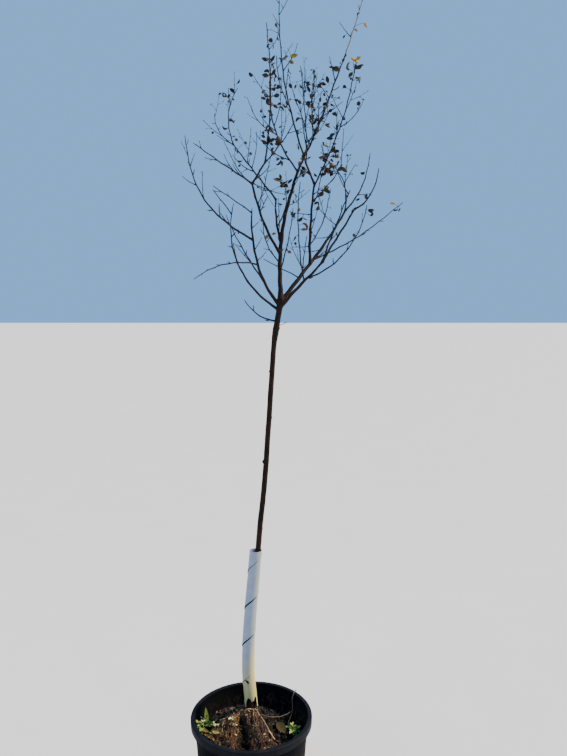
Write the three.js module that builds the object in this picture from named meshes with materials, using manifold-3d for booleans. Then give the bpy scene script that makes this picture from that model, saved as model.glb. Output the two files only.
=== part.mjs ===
import * as THREE from "three";
import { mergeVertices } from "three/addons/utils/BufferGeometryUtils.js";
import Module from "manifold-3d";

// A young bare tree on its root ball, in a black nursery pot, with a pale plastic guard round the
// foot of its trunk. Sizes are in millimetres and +Z is up. The origin is the middle of the pot's
// flat underside, and the tree is seen from the front by looking along +Y.

// Pot, moulded in black plastic
const potHeight = 300;
const potBaseRadius = 145;
const potMouthRadius = 164;
const potWall = 2.5;
const potFloor = 3;
const lipRadius = 178;
const lipHeight = 21;
const edgeRound = 2.5;
const drainHoles = 6;
const drainRadius = 9;
const roundSteps = 36;

// Root ball, a mound of roots and bark mix that has shrunk a little from the pot
const gap = 0.35;
const ballClearance = 1.5;
const ballEdgeHeight = 236;
const ballCrownHeight = 292;
const heapSlope = { left: 70, right: 50, front: 85, back: 34 };
const ballLump = 5;
const lumpSpacing = { x: 21, y: 17 };
const seatHeight = 288;

// Trunk, thick at the soil, slim half way up, and swollen again where it forks. It leans, and its
// sways are how far it stands off the straight line, to +X, at even steps from foot to tip.
const trunkFoot = new THREE.Vector3(-4, 50, seatHeight + gap);
const trunkReach = [90, -10, 1225];
const trunkSways = [0, -10.5, -16.5, -15.5, -12.8, -10.8, -8.2, -8, -10.3, -9, 0];
const trunkDiameter = { soil: 29, lower: 18, upper: 15, fork: 20 };
const flareHeight = 30;
const forkHeight = 45;

// Guard, a wound plastic tube that leans on the trunk and sways with it
const guardFoot = new THREE.Vector3(-3.5, 50, seatHeight + gap);
const guardReach = [15.5, -3, 490];
const guardSways = [0, -12, -12.4, -6.6, 0];
const guardDiameter = { foot: 39, top: 37 };
const guardRings = 8;
const guardWall = 1.5;
const archWidth = 13;
const archHeight = 22;

// Faces of a limb: sides round it, and one ring of points for each stretch along it
const thinSides = 6;
const thickSides = 8;
const thickFrom = 8;
const trunkSides = 14;
const trunkRings = 26;
const limbStretch = 45;

// Boughs and shoots. Each leaves the limb that it is on at a fraction of that limb's length.
// reach goes from its foot to its tip, and bow is how far its middle stands off that line.
// thick gives its diameter at the foot and at the tip.
const limbs = {
  bough_centre: { on: "trunk", at: 1, reach: [50, 60, 370], bow: [-20, 0, 5], thick: [14, 8] },
  bough_right: { on: "trunk", at: 0.995, reach: [195, 130, 275], bow: [5, 0, -5], thick: [13, 6] },
  bough_right_low: { on: "trunk", at: 0.98, reach: [115, -110, 120], bow: [0, 0, 0], thick: [11, 6] },
  bough_left_low: { on: "trunk", at: 0.985, reach: [-75, -70, 255], bow: [-25, 0, -10], thick: [10, 4.5] },
  bough_far_left: { on: "trunk", at: 0.975, reach: [-115, -190, 260], bow: [-50, 5, -15], thick: [8, 3] },
  twig_low_left: { on: "trunk", at: 0.95, reach: [-90, -20, 55], bow: [-5, 0, -12], thick: [5, 2.5] },

  leader_low: { on: "bough_right", at: 0.42, reach: [10, -15, 225], bow: [-5, 0, 0], thick: [9, 6] },
  leader: { on: "leader_low", at: 1, reach: [-100, -40, 510], bow: [-30, 0, -5], thick: [6, 2] },
  leader_twin: { on: "leader", at: 0.42, reach: [-35, -65, 105], bow: [-10, 0, 0], thick: [3, 2] },
  shoot_top_back: { on: "leader", at: 0.11, reach: [-15, 45, 280], bow: [5, 0, 0], thick: [3.5, 2] },
  shoot_right_tall: { on: "leader_low", at: 0.96, reach: [105, -140, 300], bow: [15, 5, 0], thick: [4.5, 2.2] },
  shoot_right_side: { on: "leader_low", at: 0.78, reach: [75, -85, 80], bow: [5, 5, 0], thick: [3.5, 2] },
  shoot_right_mid: { on: "leader_low", at: 0.23, reach: [65, 70, 170], bow: [10, 0, -5], thick: [3.5, 2] },

  shoot_centre_right: { on: "bough_centre", at: 1, reach: [190, 40, 505], bow: [10, 0, -5], thick: [6, 2.5] },
  shoot_centre_left: { on: "bough_centre", at: 0.99, reach: [-75, 90, 335], bow: [-35, 0, -10], thick: [5, 2.2] },
  shoot_top_right: { on: "shoot_centre_right", at: 0.21, reach: [5, 90, 205], bow: [-10, 0, 0], thick: [3, 2] },
  shoot_front_centre: { on: "bough_centre", at: 0.2, reach: [35, -75, 160], bow: [5, 0, 0], thick: [4, 2] },
  shoot_front_left: { on: "bough_centre", at: 0.27, reach: [-45, -85, 100], bow: [-10, 0, -5], thick: [4, 2] },

  bough_left: { on: "bough_centre", at: 0.34, reach: [-75, -100, 175], bow: [-10, 0, -5], thick: [9, 6] },
  shoot_left_out: { on: "bough_left", at: 1, reach: [-140, -90, 80], bow: [0, 0, 0], thick: [5, 2.2] },
  limb_left_up: { on: "bough_left", at: 1, reach: [35, -5, 55], bow: [0, 0, 0], thick: [5.5, 4.5] },
  shoot_left_tall: { on: "limb_left_up", at: 1, reach: [5, -15, 345], bow: [12, 0, 0], thick: [4.5, 2.2] },
  shoot_left_fork: { on: "limb_left_up", at: 0.97, reach: [75, -80, 80], bow: [5, 5, 0], thick: [3.5, 2] },

  bough_back_left: { on: "bough_centre", at: 0.42, reach: [-15, 50, 130], bow: [-5, 0, 0], thick: [8, 5.5] },
  limb_back_left: { on: "bough_back_left", at: 1, reach: [-130, 90, 180], bow: [0, 0, 0], thick: [5.5, 3.5] },
  shoot_back_left: { on: "limb_back_left", at: 1, reach: [10, 30, 170], bow: [-20, 0, 0], thick: [3.5, 2] },
  shoot_back_left_out: { on: "limb_back_left", at: 0.98, reach: [-65, 70, 110], bow: [-15, 0, -5], thick: [3.2, 2] },
  shoot_back_inner: { on: "bough_back_left", at: 0.37, reach: [20, 60, 130], bow: [15, 0, 0], thick: [4, 2] },

  bough_left_long: { on: "bough_left_low", at: 0.73, reach: [-200, 120, 305], bow: [-40, 0, -30], thick: [6, 2.2] },
  bough_left_back: { on: "bough_left_low", at: 0.28, reach: [-115, 110, 200], bow: [-5, 0, -5], thick: [5, 2.2] },
  shoot_left_low: { on: "bough_left_low", at: 0.98, reach: [-95, -40, 60], bow: [0, 0, 0], thick: [3.5, 2] },
  limb_arching: { on: "bough_left_low", at: 0.48, reach: [-155, -145, -45], bow: [-5, 0, 20], thick: [4.5, 2] },
  shoot_far_left: { on: "bough_far_left", at: 0.94, reach: [-40, -40, 50], bow: [0, 0, 0], thick: [3, 2] },

  shoot_right_out: { on: "bough_right", at: 1, reach: [80, 70, 180], bow: [15, 0, -5], thick: [5, 2.2] },
  shoot_right_up: { on: "bough_right", at: 0.98, reach: [-60, -40, 145], bow: [25, 0, 10], thick: [4, 2] },
  limb_right_far: { on: "bough_right", at: 0.46, reach: [280, 135, 185], bow: [0, 0, -15], thick: [5, 2] },
  twig_back_right: { on: "bough_right", at: 0.3, reach: [15, 50, 110], bow: [0, 0, 0], thick: [3.5, 2] },
  twig_cross: { on: "bough_right", at: 0.26, reach: [-100, 35, 55], bow: [0, 0, 0], thick: [3.5, 2] },

  limb_right_outer: { on: "bough_right_low", at: 1, reach: [75, -80, 125], bow: [0, 0, 0], thick: [6, 4.5] },
  shoot_right_outer: { on: "limb_right_outer", at: 1, reach: [50, -70, 80], bow: [10, 0, -12], thick: [4.5, 2.2] },
  limb_right_inner: { on: "bough_right_low", at: 0.97, reach: [65, -90, 170], bow: [0, 0, 0], thick: [5, 2.2] },
  limb_right_below: { on: "bough_right_low", at: 0.66, reach: [160, 0, 190], bow: [25, 0, -25], thick: [4.5, 2] },
  shoot_front_right: { on: "bough_right_low", at: 0.6, reach: [-15, -120, 235], bow: [-10, 5, 0], thick: [4, 2] },
};

// Masses of curled leaves. Each sits on a limb at a fraction of its length, with its middle
// shifted from there. size is its width, depth and height.
const leafMasses = {
  leaves_left_top: { on: "shoot_left_tall", at: 0.76, shift: [8, 0, 0], size: [50, 45, 75] },
  leaves_left_middle: { on: "shoot_left_tall", at: 0.5, shift: [8, 0, 0], size: [50, 45, 60] },
  leaves_back_left: { on: "shoot_back_left", at: 0.97, shift: [0, 0, 12], size: [50, 45, 60] },
  leaves_leader: { on: "leader", at: 0.68, shift: [16, 0, 0], size: [55, 45, 45] },
  leaves_top_right: { on: "shoot_top_right", at: 0.85, shift: [5, 0, 0], size: [80, 65, 70] },
  leaves_right_top: { on: "shoot_right_tall", at: 0.97, shift: [0, 0, 12], size: [55, 50, 65] },
  leaves_right_middle: { on: "shoot_right_tall", at: 0.32, shift: [0, -4, 0], size: [60, 50, 60] },
  leaves_right_side: { on: "shoot_right_side", at: 0.97, shift: [12, -4, 4], size: [60, 50, 50] },
  leaves_back_inner: { on: "shoot_back_inner", at: 0.97, shift: [-4, 0, 8], size: [65, 55, 48] },
};
const massSides = 9;
const massRings = 7;
const massUnevenness = 0.16;

// Materials
const finish = (color, roughness) => new THREE.MeshStandardMaterial({ color, roughness, metalness: 0 });
const potPlastic = finish(0x17191c, 0.45);
const guardPlastic = finish(0xd6d5c8, 0.5);
const rootMix = finish(0x4a2f1c, 1);
const bark = finish(0x3d332c, 0.85);
const dryLeaf = finish(0x5a3a20, 0.8);

// Solids, joined and cut
const wasm = await Module();
wasm.setup();

function solid(geometry) {
  const bare = geometry.clone();
  bare.deleteAttribute("normal");
  bare.deleteAttribute("uv");
  const merged = mergeVertices(bare, 1e-4);
  const vertProperties = Float32Array.from(merged.attributes.position.array);
  const triVerts = Uint32Array.from(merged.index.array);
  return new wasm.Manifold(new wasm.Mesh({ numProp: 3, vertProperties, triVerts }));
}

function mainPiece(manifold) {
  return manifold.decompose().reduce((a, b) => (b.volume() > a.volume() ? b : a));
}

function meshOf(name, manifold, material) {
  const { vertProperties, triVerts } = manifold.getMesh();
  const geometry = new THREE.BufferGeometry();
  geometry.setAttribute("position", new THREE.BufferAttribute(vertProperties, 3));
  geometry.setIndex(new THREE.BufferAttribute(triVerts, 1));
  geometry.computeVertexNormals();
  const mesh = new THREE.Mesh(geometry, material);
  mesh.name = name;
  return mesh;
}

// A lathed solid stands on +Z, from a profile of radius and height
function turned(profile, steps) {
  const points = profile.map(([radius, height]) => new THREE.Vector2(radius, height));
  return new THREE.LatheGeometry(points, steps).rotateX(Math.PI / 2);
}

// A line that runs from its foot along reach, with its middle off the straight line by bow
class BowedLine extends THREE.Curve {
  constructor(foot, reach, bow) {
    super();
    this.foot = foot;
    this.reach = new THREE.Vector3(...reach);
    this.bow = new THREE.Vector3(...bow);
  }

  getPoint(t, target = new THREE.Vector3()) {
    return target
      .copy(this.foot)
      .addScaledVector(this.reach, t)
      .addScaledVector(this.bow, 4 * t * (1 - t));
  }
}

// A line that runs from its foot along reach, and stands off the straight line by sways
class SwayedLine extends THREE.Curve {
  constructor(foot, reach, sways) {
    super();
    this.foot = foot;
    this.reach = new THREE.Vector3(...reach);
    this.sway = new THREE.SplineCurve(sways.map((amount, i) => new THREE.Vector2(i, amount)));
  }

  getPoint(t, target = new THREE.Vector3()) {
    target.copy(this.foot).addScaledVector(this.reach, t);
    target.x += this.sway.getPoint(t).y;
    return target;
  }
}

// A round bar bent along a line, with its radius given along it, and grown all over by extra.
// A level foot is cut flat, where the bar stands on something.
function bentBar(line, radiusAt, { sides, rings, extra = 0, level = false }) {
  const bar = new THREE.CylinderGeometry(1, 1, 1, sides, rings);
  const place = bar.attributes.position;
  const depth = new THREE.Vector3(0, 1, 0);
  const across = new THREE.Vector3();
  const beside = new THREE.Vector3();
  const point = new THREE.Vector3();
  const cornerGrowth = extra / Math.cos(Math.PI / sides);
  for (let i = 0; i < place.count; i += 1) {
    const t = THREE.MathUtils.clamp(place.getY(i) + 0.5, 0, 1);
    const along = line.getTangent(t);
    across.crossVectors(along, depth).normalize();
    beside.crossVectors(across, along);
    const radius = radiusAt(t) + cornerGrowth;
    line.getPoint(t, point);
    point.addScaledVector(across, place.getX(i) * radius);
    point.addScaledVector(beside, place.getZ(i) * radius);
    if (t === 0) point.addScaledVector(along, -extra);
    if (t === 1) point.addScaledVector(along, extra);
    if (t === 0 && level) point.z = line.getPoint(0).z - extra;
    place.setXYZ(i, point.x, point.y, point.z);
  }
  return bar;
}

// Pot, a tapered shell with a lip folded out and down, and drain holes round its foot
function makePot() {
  const lipUnder = potHeight - potWall;
  const profile = [
    [0, 0],
    [potBaseRadius - 2 * edgeRound, 0],
    [potBaseRadius, 2 * edgeRound],
    [potMouthRadius + potWall, lipUnder - edgeRound],
    [potMouthRadius + potWall + edgeRound, lipUnder],
    [lipRadius - potWall, lipUnder],
    [lipRadius - potWall, potHeight - lipHeight],
    [lipRadius, potHeight - lipHeight],
    [lipRadius, potHeight - edgeRound],
    [lipRadius - edgeRound, potHeight],
    [potMouthRadius + edgeRound / 2, potHeight],
    [potMouthRadius, potHeight - edgeRound / 2],
    [potBaseRadius - potWall, potFloor + edgeRound],
    [potBaseRadius - 2 * edgeRound, potFloor],
    [0, potFloor],
  ];
  let shell = solid(turned(profile, roundSteps));
  for (let i = 0; i < drainHoles; i += 1) {
    const turn = ((i + 0.5) / drainHoles) * 2 * Math.PI;
    const drill = new THREE.CylinderGeometry(drainRadius, drainRadius, 5 * drainRadius, 10);
    drill.rotateZ(Math.PI / 2);
    drill.translate(potBaseRadius, 0, drainRadius + potFloor / 2);
    drill.rotateZ(turn);
    shell = shell.subtract(solid(drill));
  }
  return shell;
}

// Root ball, a lathed body whose top is heaped up at the trunk's foot. The heap runs on to the
// front and falls off steeply at the back.
function heapHeight(x, y) {
  const across = x - trunkFoot.x;
  const along = y - trunkFoot.y;
  const side = across / (across > 0 ? heapSlope.right : heapSlope.left);
  const depth = along / (along > 0 ? heapSlope.back : heapSlope.front);
  const away = Math.hypot(side, depth);
  const heap = (ballCrownHeight - ballEdgeHeight) * Math.exp((-away * away) / 2);
  const waves = Math.sin(x / lumpSpacing.x) * Math.cos(y / lumpSpacing.y + 1);
  return ballEdgeHeight + heap + ballLump * waves * Math.min(away, 1);
}

function makeRootBall(trunkAndGuard) {
  const footRadius = potBaseRadius - 2 * edgeRound - ballClearance;
  const slope = (potMouthRadius - potBaseRadius + potWall) / potHeight;
  const topRadius = potBaseRadius - potWall - ballClearance + slope * ballEdgeHeight;
  const footHeight = potFloor + gap;
  const topRings = [1, 0.86, 0.7, 0.54, 0.4, 0.27, 0.14, 0];
  const profile = [
    [0, footHeight],
    [footRadius, footHeight],
    [footRadius + slope * footHeight, footHeight + 3 * edgeRound],
    ...topRings.map((part) => [part * topRadius, ballEdgeHeight]),
  ];
  const ball = turned(profile, roundSteps);
  const place = ball.attributes.position;
  for (let i = 0; i < place.count; i += 1) {
    if (place.getZ(i) > ballEdgeHeight - 1) place.setZ(i, heapHeight(place.getX(i), place.getY(i)));
  }
  return mainPiece(solid(ball).subtract(trunkAndGuard));
}

// Trunk, tapering upwards, with a root flare at the soil and a swelling at the fork
const trunkLine = new SwayedLine(trunkFoot, trunkReach, trunkSways);
const trunkLength = Math.hypot(...trunkReach);

function trunkRadius(t) {
  const { soil, lower, upper, fork } = trunkDiameter;
  const taper = lower + (upper - lower) * t;
  const flare = (soil - lower) * Math.exp((-t * trunkLength) / flareHeight);
  const swelling = (fork - upper) * Math.exp(((t - 1) * trunkLength) / forkHeight);
  return (taper + flare + swelling) / 2;
}

// Rings stand closer together where the trunk flares and forks
function crowded(t) {
  return t - Math.sin(2 * Math.PI * t) / (2 * Math.PI);
}

class CrowdedLine extends THREE.Curve {
  constructor(line) {
    super();
    this.line = line;
  }

  getPoint(t, target) {
    return this.line.getPoint(crowded(t), target);
  }
}

function trunkBar(extra) {
  const shape = { sides: trunkSides, rings: trunkRings, extra, level: true };
  return solid(bentBar(new CrowdedLine(trunkLine), (t) => trunkRadius(crowded(t)), shape));
}

// Guard, a tube with a torn foot that stands on two legs
const guardLine = new SwayedLine(guardFoot, guardReach, guardSways);

function guardRadius(t) {
  return (guardDiameter.foot + (guardDiameter.top - guardDiameter.foot) * t) / 2;
}

function makeGuard() {
  const shape = { sides: trunkSides, rings: guardRings, level: true };
  const outer = solid(bentBar(guardLine, guardRadius, shape));
  const bore = solid(bentBar(guardLine, (t) => guardRadius(t) - guardWall - gap, { ...shape, extra: gap }));
  const arch = new THREE.CylinderGeometry(archWidth / 2, archWidth / 2, 2 * guardDiameter.foot, 12);
  arch.scale(1, 1, (2 * archHeight) / archWidth);
  arch.translate(guardFoot.x, guardFoot.y, guardFoot.z);
  return outer.subtract(bore).subtract(solid(arch));
}

// What stands on the root ball is let into it by its grown outline
function seatCutter() {
  const radius = guardDiameter.foot / 2 + 2 * gap;
  const seat = new THREE.CylinderGeometry(radius, radius, ballCrownHeight, trunkSides);
  seat.rotateX(Math.PI / 2);
  seat.translate(guardFoot.x, guardFoot.y, seatHeight + ballCrownHeight / 2);
  return solid(seat);
}

// Boughs and shoots, each cut back where it meets those made before it
const lines = { trunk: trunkLine };
const made = [trunkBar(gap)];

function boxesMeet(a, b) {
  const first = a.boundingBox();
  const second = b.boundingBox();
  return [0, 1, 2].every((k) => first.min[k] < second.max[k] && second.min[k] < first.max[k]);
}

function cutClear(manifold) {
  let clear = manifold;
  for (const grown of made) {
    if (boxesMeet(clear, grown)) clear = clear.subtract(grown);
  }
  return mainPiece(clear);
}

function makeLimb(name, { on, at, reach, bow, thick }) {
  const line = new BowedLine(lines[on].getPoint(at), reach, bow);
  const sides = thick[0] < thickFrom ? thinSides : thickSides;
  const rings = Math.max(3, Math.round(line.getLength() / limbStretch));
  const radiusAt = (t) => (thick[0] + (thick[1] - thick[0]) * t) / 2;
  const clear = cutClear(solid(bentBar(line, radiusAt, { sides, rings })));
  lines[name] = line;
  made.push(solid(bentBar(line, radiusAt, { sides, rings, extra: gap })));
  return meshOf(name, clear, bark);
}

// Leaf masses, uneven lumps that the limbs pass through
function makeMass(name, { on, at, shift, size }, index) {
  const lump = new THREE.SphereGeometry(0.5, massSides, massRings);
  const place = lump.attributes.position;
  for (let i = 0; i < place.count; i += 1) {
    const [x, y, z] = [place.getX(i), place.getY(i), place.getZ(i)];
    const bumps = Math.sin(9 * x + index) + Math.sin(11 * y + 2 * index) + Math.cos(10 * z - index);
    const scale = 1 - massUnevenness / 2 + (massUnevenness / 3) * bumps;
    place.setXYZ(i, x * scale, y * scale, z * scale);
  }
  lump.rotateX(Math.PI / 2);
  lump.scale(...size);
  const middle = lines[on].getPoint(at).add(new THREE.Vector3(...shift));
  lump.translate(middle.x, middle.y, middle.z);
  return meshOf(name, cutClear(solid(lump)), dryLeaf);
}

// Assembly
const tree = new THREE.Group();
tree.add(meshOf("pot", makePot(), potPlastic));
tree.add(meshOf("root_ball", makeRootBall(seatCutter()), rootMix));
tree.add(meshOf("trunk_guard", makeGuard(), guardPlastic));
tree.add(meshOf("trunk", trunkBar(0), bark));
for (const [name, limb] of Object.entries(limbs)) tree.add(makeLimb(name, limb));
Object.entries(leafMasses).forEach(([name, mass], index) => tree.add(makeMass(name, mass, index)));

export default tree;
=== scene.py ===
import math
import random

import bpy
import numpy as np
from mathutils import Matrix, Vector, noise


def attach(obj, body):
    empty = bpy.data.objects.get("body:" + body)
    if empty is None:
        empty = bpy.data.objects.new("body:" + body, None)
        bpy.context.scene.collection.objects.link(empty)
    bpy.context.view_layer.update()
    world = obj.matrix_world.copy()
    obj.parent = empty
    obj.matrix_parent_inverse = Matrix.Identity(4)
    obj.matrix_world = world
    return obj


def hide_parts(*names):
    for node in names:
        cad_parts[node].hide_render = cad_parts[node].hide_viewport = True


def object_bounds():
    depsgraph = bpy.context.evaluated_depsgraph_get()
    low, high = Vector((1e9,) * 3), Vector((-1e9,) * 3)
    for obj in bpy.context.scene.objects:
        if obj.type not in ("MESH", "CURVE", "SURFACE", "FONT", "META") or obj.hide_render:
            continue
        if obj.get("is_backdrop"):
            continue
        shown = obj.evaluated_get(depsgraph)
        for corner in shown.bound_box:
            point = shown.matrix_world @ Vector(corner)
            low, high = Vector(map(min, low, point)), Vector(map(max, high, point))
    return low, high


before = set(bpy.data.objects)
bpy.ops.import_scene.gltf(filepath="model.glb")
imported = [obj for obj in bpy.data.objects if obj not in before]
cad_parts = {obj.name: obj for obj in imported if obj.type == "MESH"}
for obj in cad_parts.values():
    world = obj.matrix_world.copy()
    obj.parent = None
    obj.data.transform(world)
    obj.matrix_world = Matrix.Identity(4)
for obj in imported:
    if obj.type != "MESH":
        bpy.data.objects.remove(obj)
frame_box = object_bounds()

# Camera
# It stands where the photograph was taken from, just under two metres in front of the pot at a
# little under head height, and looks slightly down.
camera_place = (0.094, -1.86, 1.46)
camera_dip = 5.15
frame_long_side = 756
focal_pixels = 665
film_width = 36
bpy.ops.object.camera_add(location=camera_place, rotation=(math.radians(90 - camera_dip), 0, 0))
camera = bpy.context.object
camera.data.sensor_width = film_width
camera.data.lens = film_width * focal_pixels / frame_long_side
bpy.context.scene.camera = camera

# Nursery pot
# A blow-moulded pot of black plastic, thin in the wall, with a lip folded out and down for
# lifting, a stacking step under it, and drain holes cut through the corner of its foot.


class Socket:
    """One output of a material's node. Sums and products of sockets become Math nodes."""

    def __init__(self, tree, output):
        self.tree = tree
        self.output = output

    def add(self, kind, settings, inputs, out=0):
        """Adds a node of a kind, sets it, fills its sockets, and gives one of its outputs."""
        node = self.tree.nodes.new("ShaderNode" + kind)
        for name, value in settings.items():
            setattr(node, name, value)
        for name, value in inputs.items():
            self.feed(node, name, value)
        return Socket(self.tree, node.outputs[out])

    def feed(self, node, name, value):
        """Links or sets one input of a node."""
        if isinstance(value, Socket):
            self.tree.links.new(value.output, node.inputs[name])
        elif isinstance(value, tuple) and len(value) == 3 and node.inputs[name].type == "RGBA":
            node.inputs[name].default_value = (*value, 1)
        else:
            node.inputs[name].default_value = value

    def maths(self, operation, a, b):
        return self.add("Math", {"operation": operation}, {0: a, 1: b})

    def __add__(self, other):
        return self.maths("ADD", self, other)

    def __radd__(self, other):
        return self.maths("ADD", other, self)

    def __sub__(self, other):
        return self.maths("SUBTRACT", self, other)

    def __rsub__(self, other):
        return self.maths("SUBTRACT", other, self)

    def __mul__(self, other):
        return self.maths("MULTIPLY", self, other)

    def __rmul__(self, other):
        return self.maths("MULTIPLY", other, self)

    def noise(self, scale, detail, roughness):
        """Soft noise over coordinates, from 0 to 1."""
        sockets = {"Vector": self, "Scale": scale, "Detail": detail, "Roughness": roughness}
        return self.add("TexNoise", {}, sockets)

    def cells(self, scale, out=0):
        """Round cells over coordinates: how far each one's middle is, or a colour for each."""
        sockets = {"Vector": self, "Scale": scale, "Randomness": 1}
        return self.add("TexVoronoi", {"feature": "F1"}, sockets, out)

    def stretched(self, x, y, z):
        """Coordinates scaled apart along each axis."""
        return self.add("Mapping", {}, {"Vector": self, "Scale": (x, y, z)})

    def part(self, axis):
        """One of a place's three coordinates."""
        return self.add("SeparateXYZ", {}, {"Vector": self}, out=axis)

    def between(self, low, high):
        """0 under low, 1 over high, and a slope between them."""
        return self.add("MapRange", {}, {"Value": self, "From Min": low, "From Max": high})

    def mix(self, first, second):
        """The first colour where this is 0, and the second where it is 1."""
        return self.add("Mix", {"data_type": "RGBA"}, {0: self, 6: first, 7: second}, out=2)

    def bump(self, height_m, strength):
        """A normal from this height, whose full range stands for height_m."""
        return self.add("Bump", {}, {"Height": self, "Distance": height_m, "Strength": strength})


def new_finish(name, gloss=0.5):
    """A material, its shader node and its object coordinates."""
    material = bpy.data.materials.new(name)
    material.use_nodes = True
    tree = material.node_tree
    shader = tree.nodes["Principled BSDF"]
    shader.inputs["Specular IOR Level"].default_value = gloss
    place = Socket(tree, tree.nodes.new("ShaderNodeTexCoord").outputs["Object"])
    return material, shader, place


def coat(shader, colour, roughness, normal=None):
    """Feeds a finish's colour and roughness, and its normal if it has one."""
    colour.feed(shader, "Base Color", colour)
    roughness.feed(shader, "Roughness", roughness)
    if normal:
        normal.feed(shader, "Normal", normal)


def take_finish(piece, *materials):
    piece.data.materials.clear()
    for material in materials:
        piece.data.materials.append(material)


def belongs(piece, slot, *replaced):
    """The piece rides on the one body and stands for CAD nodes, which it hides. The slot is not used.
    """
    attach(piece, "root")
    if replaced:
        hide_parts(*replaced)


def only(piece):
    """Selects one object alone and makes it the active one."""
    bpy.ops.object.select_all(action="DESELECT")
    piece.select_set(True)
    bpy.context.view_layer.objects.active = piece


def add_modifier(piece, kind, **settings):
    """Adds a modifier and applies it."""
    only(piece)
    modifier = piece.modifiers.new(kind.title(), kind)
    for name, value in settings.items():
        setattr(modifier, name, value)
    bpy.ops.object.modifier_apply(modifier=modifier.name)


def smooth_under(piece, degrees):
    """Shades a piece smooth, apart from the edges that turn by more than an angle."""
    only(piece)
    bpy.ops.object.shade_smooth_by_angle(angle=math.radians(degrees))


def arc(centre_r, centre_z, radius, start, end, steps):
    """Points of a profile on an arc, from one angle to another in degrees."""
    turns = np.radians(np.linspace(start, end, steps))
    return [(centre_r + radius * math.cos(a), centre_z + radius * math.sin(a)) for a in turns]


pot_height = 0.300
pot_base_radius = 0.145
pot_mouth_radius = 0.164
pot_wall = 0.0025
pot_lip_radius = 0.178
pot_lip_height = 0.021
pot_steps = 128
foot_corner = 0.006
foot_panel = 0.0012
foot_groove = 0.0016
floor_thickness = 0.003
inner_corner = 0.0045
step_height = 0.246
step_slope = 0.006
step_shoulder = 0.004
step_out = 0.0022
lip_draft = 0.0006
lip_edge = 0.001
wall_top = pot_height - pot_wall
lip_inside = pot_lip_radius - pot_wall
lip_hem = pot_height - pot_lip_height


def outer_wall(height):
    """Radius of the pot's outside at a height."""
    return pot_base_radius + (pot_mouth_radius + pot_wall - pot_base_radius) * height / pot_height


pot_profile = [
    (0.0, foot_panel),
    (0.052, foot_panel),
    (0.055, 0.0),
    (0.108, 0.0),
    (0.111, foot_groove),
    (0.126, foot_groove),
    (0.129, 0.0),
    *arc(pot_base_radius - foot_corner, foot_corner, foot_corner, -90, 0, 6),
    (outer_wall(0.03), 0.03),
    (outer_wall(step_height - step_slope), step_height - step_slope),
    (outer_wall(step_height) + step_out * 0.8, step_height),
    (outer_wall(step_height + step_shoulder) + step_out, step_height + step_shoulder),
    (outer_wall(wall_top) + step_out, wall_top - step_shoulder),
    (outer_wall(wall_top) + step_out + 0.003, wall_top),
    (lip_inside - lip_edge, wall_top),
    (lip_inside, wall_top - lip_edge),
    (lip_inside - lip_draft, lip_hem),
    (pot_lip_radius - lip_draft, lip_hem),
    *arc(lip_inside, wall_top, pot_wall, 0, 90, 6),
    (pot_mouth_radius + 0.004, pot_height),
    *arc(pot_mouth_radius + pot_wall, wall_top, pot_wall, 90, 180, 5),
    (outer_wall(step_height) - pot_wall + 0.001, step_height),
    (outer_wall(step_height - step_slope) - pot_wall, step_height - step_slope),
    *arc(pot_base_radius - 0.007, floor_thickness + inner_corner, inner_corner, 0, -90, 5),
    (0.0, floor_thickness),
]


def spun(name, profile, steps):
    """A profile of radius and height spun round +Z by the spin operator."""
    mesh = bpy.data.meshes.new(name)
    points = [(radius, 0, height) for radius, height in profile]
    mesh.from_pydata(points, [(i, i + 1) for i in range(len(points) - 1)], [])
    piece = bpy.data.objects.new(name, mesh)
    bpy.context.collection.objects.link(piece)
    only(piece)
    bpy.ops.object.mode_set(mode="EDIT")
    bpy.ops.mesh.select_all(action="SELECT")
    bpy.ops.mesh.spin(steps=steps, angle=2 * math.pi, center=(0, 0, 0), axis=(0, 0, 1))
    bpy.ops.mesh.select_all(action="SELECT")
    bpy.ops.mesh.remove_doubles(threshold=0.00005)
    bpy.ops.mesh.normals_make_consistent(inside=False)
    bpy.ops.object.mode_set(mode="OBJECT")
    return piece


def cut_out(piece, cutter):
    """Takes the cutter's shape out of a piece, and removes the cutter."""
    add_modifier(piece, "BOOLEAN", object=cutter, operation="DIFFERENCE", solver="EXACT")
    bpy.data.objects.remove(cutter)


pot = spun("nursery_pot", pot_profile, pot_steps)
drain_holes = 6
drain_radius = 0.009
drain_depth = 0.045
drain_height = 0.0105
for i in range(drain_holes):
    turn = (i + 0.5) / drain_holes * 2 * math.pi
    out = Vector((math.cos(turn), math.sin(turn), 0))
    bpy.ops.mesh.primitive_cylinder_add(
        vertices=20,
        radius=drain_radius,
        depth=drain_depth,
        location=out * pot_base_radius + Vector((0, 0, drain_height)),
        rotation=(0, math.radians(90), turn),
    )
    cut_out(pot, bpy.context.object)
smooth_under(pot, 35)

pot_black, shader, place = new_finish("pot_black", gloss=0.06)
wall_slope = 0.0717
height = place.part(2)
level = place.stretched(1, 1, 0)
away = level.add("VectorMath", {"operation": "LENGTH"}, {0: level}, out=1)
outside = (away - height * wall_slope).between(0.1442, 0.1458)
flow = place.stretched(1, 1, 0.08).noise(55, 5, 0.6)
dust = place.noise(18, 6, 0.62)
specks = place.noise(620, 2, 0.5).between(0.62, 0.72)
splash = (1 - height.between(0.0, 0.09)) * place.noise(42, 5, 0.65).between(0.36, 0.62)
rim_dust = height.between(0.285, 0.3) * dust.between(0.42, 0.7)
pale = (dust.between(0.5, 0.8) * 0.4 + flow.between(0.52, 0.74) * 0.25 + rim_dust * 0.5) * 0.5
pale = (pale + specks * dust.between(0.4, 0.7) * 0.3) * outside
lip = height.between(0.276, 0.281)
# The outside of the lip is lifted to a paler grey, partly dust and partly a painted sheen along its
# roll.
lip_dust_and_sheen = lip * outside * (0.3 + dust.between(0.4, 0.6) * 0.4)
inside = (1 - outside) * (1 - height.between(0.262, 0.294))
smears = place.noise(95, 5, 0.7).between(0.50, 0.62) * inside
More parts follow.
